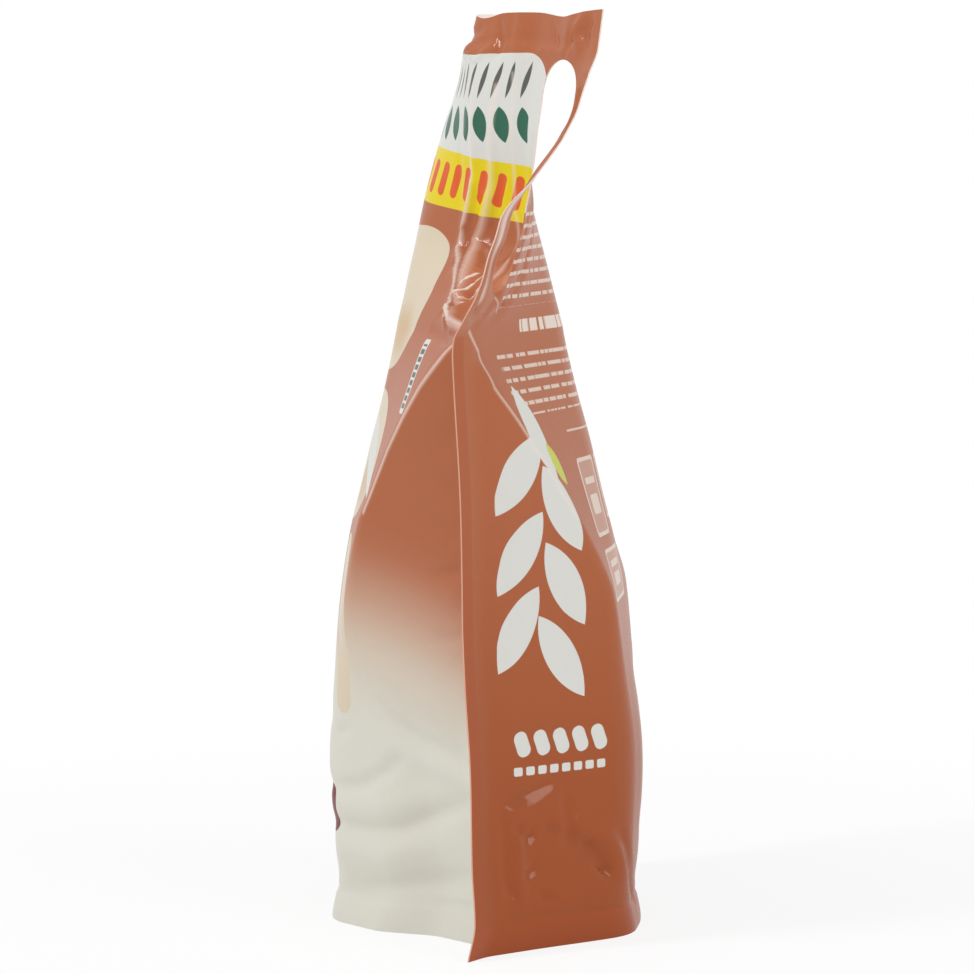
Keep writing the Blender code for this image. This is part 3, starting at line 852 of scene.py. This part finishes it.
def rounded_patch_group():
    """Distance to a box with round corners: |max(|p| - half + corner, 0)| - corner, made a soft mask."""
    tree, given, result = new_group(
        "rounded_patch",
        [("Film", "NodeSocketVector"), ("Place", "NodeSocketVector"), ("Half", "NodeSocketVector"),
         ("Corner", "NodeSocketFloat"), ("Turn", "NodeSocketFloat"), ("Soft", "NodeSocketFloat")],
        [("Mask", "NodeSocketFloat")])
    film_at, place, half, corner, turn, soft = given.outputs[:6]
    offset = vector_of(tree, "SUBTRACT", film_at, place)
    turned = put(tree, "ShaderNodeVectorRotate", rotation_type="Z_AXIS")
    tree.links.new(offset, turned.inputs["Vector"])
    tree.links.new(sum_of(tree, "MULTIPLY", turn, -1.0), turned.inputs["Angle"])
    rounding = put(tree, "ShaderNodeCombineXYZ", (corner, corner, 0.0)).outputs[0]
    inner = vector_of(tree, "SUBTRACT", half, rounding)
    past = vector_of(tree, "SUBTRACT", vector_of(tree, "ABSOLUTE", turned.outputs[0]), inner)
    outside = vector_of(tree, "LENGTH", vector_of(tree, "MAXIMUM", past, (0.0, 0.0, 0.0)))
    gap = sum_of(tree, "SUBTRACT", outside, corner)
    mask = put(tree, "ShaderNodeMapRange", (gap, soft, sum_of(tree, "MULTIPLY", soft, -1.0), 0.0, 1.0),
               interpolation_type="SMOOTHSTEP")
    tree.links.new(mask.outputs[0], result.inputs[0])
    return tree


def petal_group():
    """Where two discs overlap: the larger of the two distances to their rims, made a soft mask."""
    tree, given, result = new_group(
        "petal",
        [("Film", "NodeSocketVector"), ("Place", "NodeSocketVector"), ("Turn", "NodeSocketFloat"),
         ("Radius", "NodeSocketFloat"), ("Shift", "NodeSocketFloat"), ("Soft", "NodeSocketFloat")],
        [("Mask", "NodeSocketFloat")])
    film_at, place, turn, radius, shift, soft = given.outputs[:6]
    turned = put(tree, "ShaderNodeVectorRotate", rotation_type="Z_AXIS")
    tree.links.new(vector_of(tree, "SUBTRACT", film_at, place), turned.inputs["Vector"])
    tree.links.new(sum_of(tree, "MULTIPLY", turn, -1.0), turned.inputs["Angle"])
    aside = put(tree, "ShaderNodeCombineXYZ", (0.0, shift, 0.0)).outputs[0]
    one = vector_of(tree, "LENGTH", vector_of(tree, "ADD", turned.outputs[0], aside))
    other = vector_of(tree, "LENGTH", vector_of(tree, "SUBTRACT", turned.outputs[0], aside))
    gap = sum_of(tree, "SUBTRACT", sum_of(tree, "MAXIMUM", one, other), radius)
    mask = put(tree, "ShaderNodeMapRange", (gap, soft, sum_of(tree, "MULTIPLY", soft, -1.0), 0.0, 1.0),
               interpolation_type="SMOOTHSTEP")
    tree.links.new(mask.outputs[0], result.inputs[0])
    return tree


def repeat_group():
    """Folds the film coordinate along s into cells of one pitch, for rows of equal marks.

    The height read in a cell is z + tilt x s, so a tilt above 0 lowers the row towards +s.
    """
    tree, given, result = new_group(
        "repeat_along",
        [("Film", "NodeSocketVector"), ("Pitch", "NodeSocketFloat"), ("Tilt", "NodeSocketFloat")],
        [("Film", "NodeSocketVector")])
    film_at, pitch, tilt = given.outputs[:3]
    split = put(tree, "ShaderNodeSeparateXYZ", (film_at,))
    wrapped = sum_of(tree, "WRAP", split.outputs[0], sum_of(tree, "MULTIPLY", pitch, -0.5),
                     sum_of(tree, "MULTIPLY", pitch, 0.5))
    leaned = sum_of(tree, "MULTIPLY_ADD", split.outputs[0], tilt, split.outputs[1])
    tree.links.new(put(tree, "ShaderNodeCombineXYZ", (wrapped, leaned, 0.0)).outputs[0], result.inputs[0])
    return tree


PATCH = rounded_patch_group()
PETAL = petal_group()
REPEAT = repeat_group()
print("ink shapes:", [group.name for group in (PATCH, PETAL, REPEAT)])

# %% [markdown]
# ## Print jobs
# A `Print` holds one material's tree and lays ink over ink, as a press does. Its shapes take
# millimetres on the flat film. `soft` is how blurred an edge is.

# %% The press
MAP_TO_MILLIMETRES = 1000 / FILM_MAP_SCALE


class Print:
    """Lays inks over each other in one material's node tree."""

    def __init__(self, tree, ground):
        self.tree = tree
        sheet_map = put(tree, "ShaderNodeUVMap", uv_map="film").outputs[0]
        scale = (MAP_TO_MILLIMETRES, MAP_TO_MILLIMETRES, 0.0)
        self.film_at = vector_of(tree, "MULTIPLY", sheet_map, scale)
        self.split = put(tree, "ShaderNodeSeparateXYZ", (self.film_at,))
        self.colour = ground

    def patch(self, place, half, corner=0.5, turn=0.0, soft=0.12, film_at=None):
        """Mask of a patch with round corners."""
        inputs = (film_at or self.film_at, (*place, 0.0), (*half, 0.0), corner, np.radians(turn), soft)
        return put(self.tree, "ShaderNodeGroup", inputs, node_tree=PATCH).outputs[0]

    def petal(self, place, length, width, turn=0.0, soft=0.12, film_at=None):
        """Mask of a petal: its discs' radius is (l^2 + w^2) / (2 w) of its half length and half width."""
        half_length, half_width = length / 2, width / 2
        radius = (half_length ** 2 + half_width ** 2) / (2 * half_width)
        shift = radius - half_width
        inputs = (film_at or self.film_at, (*place, 0.0), np.radians(turn), radius, shift, soft)
        return put(self.tree, "ShaderNodeGroup", inputs, node_tree=PETAL).outputs[0]

    def line(self, path, half, soft):
        """Mask of a line along a path: the most of one thin patch for each of its stretches."""
        mask = 0.0
        for (s, z), (s_next, z_next) in zip(path[:-1], path[1:]):
            length = float(np.hypot(s_next - s, z_next - z))
            turn = float(np.degrees(np.arctan2(z_next - z, s_next - s)))
            middle = ((s + s_next) / 2, (z + z_next) / 2)
            stretch = self.patch(middle, (length / 2 + half, half), half, turn, soft)
            mask = sum_of(self.tree, "MAXIMUM", mask, stretch)
        return mask

    def repeated(self, pitch, tilt=0.0):
        """Film coordinates folded into a row of cells."""
        return put(self.tree, "ShaderNodeGroup", (self.film_at, pitch, tilt), node_tree=REPEAT).outputs[0]

    def stripes(self, pitch, half):
        """Mask of level stripes up the film, one each pitch."""
        wrapped = sum_of(self.tree, "WRAP", self.split.outputs[1], -pitch / 2, pitch / 2)
        gap = sum_of(self.tree, "ABSOLUTE", wrapped)
        return put(self.tree, "ShaderNodeMapRange", (gap, half + 0.1, half - 0.1, 0.0, 1.0)).outputs[0]

    def word_gaps(self, length, seed, pitch):
        """Mask that breaks stripes of one pitch into dashes of uneven length, different in each row."""
        row = sum_of(self.tree, "ROUND", sum_of(self.tree, "DIVIDE", self.split.outputs[1], pitch))
        along = sum_of(self.tree, "DIVIDE", self.split.outputs[0], length)
        spot = put(self.tree, "ShaderNodeCombineXYZ", (along, row, seed)).outputs[0]
        noise = put(self.tree, "ShaderNodeTexNoise", (spot,))
        noise.inputs["Scale"].default_value = 1.0
        noise.inputs["Detail"].default_value = 1.0
        return put(self.tree, "ShaderNodeMapRange", (noise.outputs[0], 0.40, 0.46, 0.0, 1.0)).outputs[0]

    def both(self, one, other):
        """Mask where two masks meet."""
        return sum_of(self.tree, "MULTIPLY", one, other)

    def lay(self, colour, mask, strength=1.0):
        """Prints one colour through a mask."""
        if strength != 1.0:
            mask = sum_of(self.tree, "MULTIPLY", mask, strength)
        mix = put(self.tree, "ShaderNodeMix", data_type="RGBA")
        self.tree.links.new(mask, mix.inputs["Factor"])
        for socket, value in ((mix.inputs["A"], self.colour), (mix.inputs["B"], colour)):
            if isinstance(value, bpy.types.NodeSocket):
                self.tree.links.new(value, socket)
            else:
                socket.default_value = value
        self.colour = mix.outputs["Result"]

    def fade(self, low, high, curve_of_s=0.0):
        """Mask that is 1 below one height and 0 above the other; the edge drops with s squared."""
        square = sum_of(self.tree, "MULTIPLY", self.split.outputs[0], self.split.outputs[0])
        height = sum_of(self.tree, "MULTIPLY_ADD", square, curve_of_s, self.split.outputs[1])
        return put(self.tree, "ShaderNodeMapRange", (height, high, low, 0.0, 1.0),
                   interpolation_type="SMOOTHSTEP").outputs[0]


# %% Inks of this pack
BROWN = ink(176, 101, 64)
BROWN_UNDER_FADE = ink(192, 134, 108)
BROWN_LOW = ink(158, 78, 34)
BAND_BROWN = ink(166, 76, 32)
CREAM = ink(218, 216, 204)
CREAM_PINK = ink(206, 182, 160)
WHITE = ink(217, 217, 211)
YELLOW = ink(228, 206, 2)
ORANGE_RED = ink(222, 92, 34)
GREEN = ink(48, 100, 80)
GREY = ink(92, 92, 86)
BEIGE = ink(217, 202, 178)
AMBER = ink(198, 152, 86)
DARK_RED = ink(112, 22, 10)
PALE = ink(229, 214, 200)
LIME = ink(196, 202, 70)
# Colour of the painted highlights along the creases
PAINTED_CREASE_HIGHLIGHT = ink(238, 220, 208)
CLEAR_EDGE = ink(228, 208, 196)
CLEAR_EDGE_LOW = ink(216, 162, 138)
print("brown in linear values:", [round(value, 3) for value in BROWN[:3]])

# %% [markdown]
# ## The film's surface
# Laminate is a clear glossy film over the ink, so the shader's clear coat makes all its gloss
# and the ink under it is matt. The gloss is even, but the film has a faint orange peel and fine
# handling marks that break up its reflections, so roughness and bump vary a little.

# %% Group: film gloss
COAT_WEIGHT = 0.5
COAT_ROUGHNESS = 0.14
COAT_IOR = 1.5
PEEL_STRENGTH = 0.35
PEEL_HEIGHT = 0.00025
# Noise cells per millimetre of film.
BROAD_NOISE = 0.06
PEEL_NOISE = 0.35


def film_gloss_group():
    """Roughness and height of laminate: broad noise for the roughness, fine noise for the height."""
    tree, given, result = new_group(
        "film_gloss", [("Film", "NodeSocketVector"), ("Base", "NodeSocketFloat")],
        [("Roughness", "NodeSocketFloat"), ("Height", "NodeSocketFloat")])
    film_at, base = given.outputs[:2]
    broad = put(tree, "ShaderNodeTexNoise", (film_at,))
    broad.inputs["Scale"].default_value = BROAD_NOISE
    broad.inputs["Detail"].default_value = 3.0
    rough = put(tree, "ShaderNodeMapRange", (broad.outputs[0], 0.3, 0.7, -0.05, 0.07)).outputs[0]
    tree.links.new(sum_of(tree, "ADD", rough, base), result.inputs["Roughness"])
    peel = put(tree, "ShaderNodeTexNoise", (film_at,))
    peel.inputs["Scale"].default_value = PEEL_NOISE
    peel.inputs["Detail"].default_value = 2.0
    tree.links.new(peel.outputs[0], result.inputs["Height"])
    return tree


GLOSS = film_gloss_group()
print("coat weight", COAT_WEIGHT, "and roughness", COAT_ROUGHNESS)


def film_material(name, ground, roughness=0.35):
    """A glossy film material and the press that prints on it."""
    material = bpy.data.materials.new(name)
    material.use_nodes = True
    tree = material.node_tree
    shader = tree.nodes["Principled BSDF"]
    shader.inputs["Specular IOR Level"].default_value = 0.0
    shader.inputs["Coat Weight"].default_value = COAT_WEIGHT
    shader.inputs["Coat Roughness"].default_value = COAT_ROUGHNESS
    shader.inputs["Coat IOR"].default_value = COAT_IOR
    press = Print(tree, ground)
    gloss = put(tree, "ShaderNodeGroup", (press.film_at, roughness), node_tree=GLOSS)
    tree.links.new(gloss.outputs["Roughness"], shader.inputs["Roughness"])
    bump = put(tree, "ShaderNodeBump")
    bump.inputs["Strength"].default_value = PEEL_STRENGTH
    bump.inputs["Distance"].default_value = PEEL_HEIGHT
    tree.links.new(gloss.outputs["Height"], bump.inputs["Height"])
    tree.links.new(bump.outputs[0], shader.inputs["Normal"])
    tree.links.new(bump.outputs[0], shader.inputs["Coat Normal"])
    return material, press


def finish_print(material, press):
    """Feeds the printed colour to the film."""
    shader = material.node_tree.nodes["Principled BSDF"]
    material.node_tree.links.new(press.colour, shader.inputs["Base Color"])


# %% [markdown]
# ## Whitened creases
# These pale lines are painted highlights, which stand for the gloss along the sharp folds. They
# lie on the film: along the front and back creases, and along the fan of folds beside the handle.
# Thin gloss on the folds could show as lines too, but only from where a lamp happens to reflect.

# %% Painted crease highlights: path, half width, softness in millimetres, and strength
FRONT_PAINTED_HIGHLIGHTS = [
    (((80, 187), (73, 185), (67.8, 180), (57.9, 170), (49.7, 160), (42.4, 150), (36.3, 140), (30.4, 130)),
     0.5, 0.9, 0.75),
    (((76, 188), (56, 190), (48, 194), (41, 200), (34, 204), (28, 209), (26, 216), (29, 230), (28, 258)),
     0.45, 0.8, 0.75),
    (((78, 187), (64, 188), (56, 194), (46, 201), (38, 207), (34, 212), (36, 226), (38, 258)), 0.7, 1.3, 0.5),
    (((79, 189), (68, 193), (58, 200), (50, 210), (45, 222), (44, 262)), 0.35, 0.8, 0.45),
    (((50, 204), (54, 198), (51, 193), (56, 189)), 0.35, 0.3, 0.8),
    (((47, 203), (50, 196), (47, 192), (53, 190)), 0.35, 0.3, 0.8),
    (((54, 202), (58, 196), (55, 191), (62, 188)), 0.35, 0.3, 0.8),
]
# Painted highlights on the back film: the diagonal crease, the strip beside the slot, and a fold by the apex
BACK_PAINTED_HIGHLIGHTS = [
    (((80, 187), (73.5, 181), (70.2, 170), (62.7, 160), (55.8, 150), (49.2, 140), (42.7, 130)),
     0.4, 0.8, 0.65),
    (((86, 236), (85.5, 224), (84.5, 214), (83.5, 205), (82, 197)), 2.0, 1.6, 0.7),
    (((74, 206), (68, 198), (60, 192)), 0.3, 0.5, 0.5),
]

print("whitened lines:", len(FRONT_PAINTED_HIGHLIGHTS), "on the front and", len(BACK_PAINTED_HIGHLIGHTS), "on the back")

# %% [markdown]
# ## Front print
# Brown above and cream below, with a soft border that dips towards the fins. At the top a white
# label with a yellow band crosses the panel. The marks on it, and the beige and white shapes
# under it, are plain bubbles, leaves and bars of this lesson's own.

# %% Front panel, in millimetres on the flat film
FADE_DROP = 0.0026
CREAM_DROP = 0.0030
# Beige bubbles: middle, half width and half height. The wide ones have an amber shade inside.
BUBBLES = [(2, 194, 27, 22), (8, 146, 20, 20), (-30, 158, 13, 13), (14.5, 94, 4.5, 28), (-16, 122, 8, 8)]
LEAST_SHADED = 10
FRONT_LEAF_TURNS = (62, 28, -8, -44)
TICK_LABEL = (46, 172)
RED_DOT = (0.5, 34.5)
BAND_TURN = -7.0


def lay_bubbles(press):
    """Bubbles with round ends, and a soft amber shade low on the right of each wide one."""
    for s, z, wide, tall in BUBBLES:
        press.lay(BEIGE, press.patch((s, z), (wide, tall), min(wide, tall)))
        if wide > LEAST_SHADED:
            place = (s + 0.35 * wide, z - 0.45 * tall)
            shade = press.patch(place, (0.4 * wide, 0.3 * tall), 0.25 * wide, soft=0.18 * wide)
            press.lay(AMBER, shade, 0.5)


def lay_label(press):
    """The white label, its yellow band, and rows of leaves and bars inside them."""
    press.lay(WHITE, press.patch((2, 248), (58, 20), 12))
    band = press.patch((0, 232.2), (62, 8.4), 0.6, BAND_TURN)
    press.lay(YELLOW, press.both(press.patch((2, 240), (58, 28), 8), band))
    in_label = press.patch((2, 252), (49, 20), 2)
    slim_leaves = press.petal((0, 260), 11.5, 1.9, 72, film_at=press.repeated(5.4))
    press.lay(GREY, press.both(in_label, slim_leaves))
    leaves = press.petal((0, 247.6), 11, 5.2, 105, film_at=press.repeated(8.2, 0.02))
    press.lay(GREEN, press.both(in_label, leaves))
    in_band = press.patch((0, 232), (52, 8), 2, BAND_TURN)
    bars = press.patch((0, 232), (1.7, 5.3), 1.6, 2 * BAND_TURN, film_at=press.repeated(6.6, 0.12))
    press.lay(ORANGE_RED, press.both(in_band, bars))


def lay_painted_highlights(press, lines):
    """Painted highlights along the sharp folds."""
    for path, half, soft, strength in lines:
        press.lay(PAINTED_CREASE_HIGHLIGHT, press.line(path, half, soft), strength)


def print_front():
    """The front film's inks, from the ground up."""
    material, press = film_material("front_print", BROWN)
    press.lay(BROWN_UNDER_FADE, press.fade(100, 134, FADE_DROP), 0.7)
    press.lay(CREAM_PINK, press.fade(84, 124, FADE_DROP))
    press.lay(CREAM, press.fade(62, 108, CREAM_DROP))
    lay_bubbles(press)
    for k, turn in enumerate(FRONT_LEAF_TURNS):
        press.lay(WHITE, press.petal((-22 + 13 * k, 126 + 7 * k), 36, 10, 90 - turn))
    press.lay(WHITE, press.patch(TICK_LABEL, (2.8, 11), 1.0))
    press.lay(GREY, press.both(press.patch(TICK_LABEL, (2.0, 9.6), 0.4), press.stripes(2.3, 0.75)))
    press.lay(DARK_RED, press.patch(RED_DOT, (6, 7.5), 5))
    lay_label(press)
    # Painted highlights along the front creases
    lay_painted_highlights(press, FRONT_PAINTED_HIGHLIGHTS)
    finish_print(material, press)
    return material


film.data.materials.append(print_front())
print("front inks laid")

# %% [markdown]
# ## Back print
# Brown all over, a little darker low down. The side facet carries a tall sprig of off-white
# leaves over beads and dashes. The face has two blocks of fine dashes, which stand for rows of
# small type without being any, and three pale boxes under them.

# %% Back panel, in millimetres on the flat film
DASH_BLOCKS = [(193, 223), (161, 181)]
LINE_PITCH = 3.5
BOXES = [(14, 134, 9, 12), (-10, 136, 11, 10), (8, 110, 13, 8)]
BOX_RIM = 1.2
# Leaves of the sprig: middle, and turn from upright in degrees.
SPRIG = [(49, 88, -32), (65, 97, 32), (47, 110, -30), (64, 120, 34), (48, 133, -28), (64, 144, 36),
         (53, 156, -20)]
BEAD_HEIGHT = 62.6
BEAD_PITCH = 7.3
DASH_HEIGHT = 54.4
DASH_PITCH = 4.5


def lay_dashes(press):
    """Two blocks of fine dashes, a bolder row between them and a thin rule under them."""
    for bottom, top in DASH_BLOCKS:
        block = press.patch((2, (bottom + top) / 2), (58, (top - bottom) / 2), 1)
        lines = press.both(block, press.stripes(LINE_PITCH, 0.55))
        press.lay(PALE, press.both(lines, press.word_gaps(3.2, bottom, LINE_PITCH)), 0.8)
    heading = press.both(press.patch((6, 187), (34, 1.9), 0.5), press.word_gaps(2.6, 5.0, 50.0))
    press.lay(PALE, heading)
    press.lay(PALE, press.patch((0, 154.5), (24, 0.3), 0.2), 0.8)


def lay_boxes(press):
    """Boxes with a pale rim, and two pale marks in each."""
    for s, z, wide, tall in BOXES:
        press.lay(PALE, press.patch((s, z), (wide, tall), 1.5), 0.85)
        press.lay(BROWN, press.patch((s, z), (wide - BOX_RIM, tall - BOX_RIM), 1.0), 0.7)
        press.lay(PALE, press.patch((s, z + 0.4 * tall), (0.6 * wide, 1.0), 0.5), 0.8)
        press.lay(PALE, press.patch((s, z - 0.2 * tall), (0.5 * wide, 0.25 * tall), 1.0), 0.8)


def lay_sprig(press):
    """The sprig, its one lime leaf, and a row of beads over a row of dashes."""
    for s, z, turn in SPRIG:
        press.lay(WHITE, press.petal((s, z), 30, 11.5, 90 + turn))
    press.lay(LIME, press.petal((44, 146), 15, 6, 60))
    beads = press.patch((0, BEAD_HEIGHT), (2.5, 3.9), 2.2, -18, film_at=press.repeated(BEAD_PITCH))
    bead_row = press.patch((7 * BEAD_PITCH, BEAD_HEIGHT), (2.5 * BEAD_PITCH, 6), 1)
    press.lay(WHITE, press.both(bead_row, beads))
    dashes = press.patch((0, DASH_HEIGHT), (1.6, 1.3), 0.6, film_at=press.repeated(DASH_PITCH))
    dash_row = press.patch((11.5 * DASH_PITCH, DASH_HEIGHT), (4 * DASH_PITCH, 3), 1)
    press.lay(WHITE, press.both(dash_row, dashes))


def print_back():
    """The back film's inks, from the ground up."""
    material, press = film_material("back_print", BROWN)
    press.lay(BROWN_LOW, press.fade(14, 170))
    press.lay(BAND_BROWN, press.patch((88, 90), (5.2, 96), 0.5), 0.4)
    press.lay(BAND_BROWN, press.patch((0, 0), (90, 8.8), 0.5), 0.5)
    lay_dashes(press)
    lay_boxes(press)
    lay_sprig(press)
    # Painted highlights along the back creases
    lay_painted_highlights(press, BACK_PAINTED_HIGHLIGHTS)
    finish_print(material, press)
    return material


film.data.materials.append(print_back())
print("back inks laid")

# %% [markdown]
# ## Cut edges and the bottom film
# Where the knife cut the sealed films, the clear laminate shows as a pale pink line, and inside
# the slot it is mostly brown. The bottom film is the same brown, a little paler, without print.

# %% Cut edge and bottom film
BOTTOM_PALENESS = 0.147


def cut_edge():
    """The knife's edge: pale film without ink, pinker low down, and mostly brown in the slot."""
    material, press = film_material("cut_edge", CLEAR_EDGE, 0.4)
    press.lay(CLEAR_EDGE_LOW, press.fade(190, 222))
    press.lay(BROWN, press.patch((60, 206), (14, 15), 2), 0.9)
    finish_print(material, press)
    return material


def bottom_film():
    """The folded-in bottom film: brown with an even wash of cream."""
    material, press = film_material("bottom_film", BROWN_LOW, 0.3)
    press.lay(CREAM, 1.0, BOTTOM_PALENESS)
    finish_print(material, press)
    return material


film.data.materials.append(cut_edge())
film.data.materials.append(bottom_film())
print("materials:", [material.name for material in film.data.materials])

# %% [markdown]
# ## Floor, light and camera
# A pale floor that turns white away from the pack, so that no horizon shows; it keeps the pack's
# soft shadow. The world is an even white studio, and three lamps shape the folds: a tall narrow
# one high on the front panel's side, and two soft ones on the back panel's side and above. Their
# strengths add up to a level at which a colour renders nearly as it is written.

# %% Floor
FLOOR_SIZE = 6.0
# Distances from the pack, in metres, between which the floor's own light grows, and its shares.
SHADOW_NEAR, SHADOW_FAR = 0.10, 0.45
WHITE_NEAR, WHITE_FAR = 0.84, 1.0


def pale_floor():
    """A level floor: partly matt paper near the pack, and white to the camera away from it."""
    corners = [(-FLOOR_SIZE, -FLOOR_SIZE, 0), (FLOOR_SIZE, -FLOOR_SIZE, 0),
               (FLOOR_SIZE, FLOOR_SIZE, 0), (-FLOOR_SIZE, FLOOR_SIZE, 0)]
    mesh = bpy.data.meshes.new("floor")
    mesh.from_pydata(corners, [], [(0, 1, 2, 3)])
    floor = bpy.data.objects.new("floor", mesh)
    bpy.context.scene.collection.objects.link(floor)
    material = bpy.data.materials.new("floor_paper")
    material.use_nodes = True
    tree = material.node_tree
    shader = tree.nodes["Principled BSDF"]
    shader.inputs["Base Color"].default_value = (0.9, 0.9, 0.9, 1.0)
    shader.inputs["Roughness"].default_value = 0.9
    glow = put(tree, "ShaderNodeEmission", ((1.0, 1.0, 1.0, 1.0), 1.0))
    place = put(tree, "ShaderNodeTexCoord").outputs["Object"]
    away = vector_of(tree, "LENGTH", place)
    white = put(tree, "ShaderNodeMapRange", (away, SHADOW_NEAR, SHADOW_FAR, WHITE_NEAR, WHITE_FAR),
                interpolation_type="SMOOTHSTEP")
    rays = put(tree, "ShaderNodeLightPath")
    seen = sum_of(tree, "MAXIMUM", rays.outputs["Is Camera Ray"], rays.outputs["Is Glossy Ray"])
    mix = put(tree, "ShaderNodeMixShader", (sum_of(tree, "MULTIPLY", white.outputs[0], seen),
                                            shader.outputs[0], glow.outputs[0]))
    tree.links.new(mix.outputs[0], tree.nodes["Material Output"].inputs["Surface"])
    mesh.materials.append(material)
    return floor


pale_floor()

# %% World and lamps
ROOM_STRENGTH = 0.46
# Name, place, width and height in metres, and power in watts.
LAMPS = [("key", (0.70, -1.00, 1.35), 0.14, 0.9, 13.0),
         ("right", (0.9, 1.2, 0.75), 0.8, 0.8, 8.5),
         ("top", (0.2, 0.1, 1.6), 0.6, 0.6, 3.0)]
LAMP_AIM = (0.0, 0.0, 0.14)


def studio_world():
    """An even white room: full white to the eye and in reflections, softer as light."""
    world = bpy.data.worlds.new("studio")
    bpy.context.scene.world = world
    world.use_nodes = True
    tree = world.node_tree
    room = tree.nodes["Background"]
    room.inputs["Color"].default_value = (1.0, 1.0, 1.0, 1.0)
    room.inputs["Strength"].default_value = ROOM_STRENGTH
    white = put(tree, "ShaderNodeBackground", ((1.0, 1.0, 1.0, 1.0), 1.0))
    rays = put(tree, "ShaderNodeLightPath")
    seen = sum_of(tree, "MAXIMUM", rays.outputs["Is Camera Ray"],
                  sum_of(tree, "MAXIMUM", rays.outputs["Is Glossy Ray"], rays.outputs["Is Transmission Ray"]))
    mix = put(tree, "ShaderNodeMixShader", (seen, room.outputs[0], white.outputs[0]))
    tree.links.new(mix.outputs[0], tree.nodes["World Output"].inputs["Surface"])


def lamp(name, place, wide, tall, power):
    """A soft lamp, wide x tall, that points at the pack."""
    data = bpy.data.lights.new(name, "AREA")
    data.shape = "RECTANGLE"
    data.size = wide
    data.size_y = tall
    data.energy = power
    light = bpy.data.objects.new(name, data)
    light.location = place
    light.rotation_euler = (Vector(LAMP_AIM) - Vector(place)).to_track_quat("-Z", "Y").to_euler()
    light.visible_camera = False
    bpy.context.scene.collection.objects.link(light)


studio_world()
for settings in LAMPS:
    lamp(*settings)
print("lamps:", [settings[0] for settings in LAMPS])

# %% Camera
CAMERA_TURN = 96.0
CAMERA_DISTANCE = 1.270
CAMERA_HEIGHT = 0.2513
AIM_HEIGHT = 0.1351
LENS = 152.5
SENSOR = 36.0
PICTURE_PIXELS = 974
SIDE_SHIFT_PIXELS = 1.5


def stand_camera():
    """A long lens a little below the height of the pack's top, which looks at the handle side."""
    turn = np.radians(CAMERA_TURN)
    data = bpy.data.cameras.new("camera")
    data.lens = LENS
    data.sensor_width = SENSOR
    data.shift_x = -SIDE_SHIFT_PIXELS / PICTURE_PIXELS
    camera = bpy.data.objects.new("camera", data)
    camera.location = (np.sin(turn) * CAMERA_DISTANCE, -np.cos(turn) * CAMERA_DISTANCE, CAMERA_HEIGHT)
    towards = Vector((0.0, 0.0, AIM_HEIGHT)) - camera.location
    camera.rotation_euler = towards.to_track_quat("-Z", "Y").to_euler()
    bpy.context.scene.collection.objects.link(camera)
    bpy.context.scene.camera = camera


stand_camera()
bpy.context.scene.view_settings.view_transform = "Standard"
print("camera:", CAMERA_DISTANCE, "m away with a lens of", LENS, "mm")

# %% Finish
bpy.context.view_layer.update()
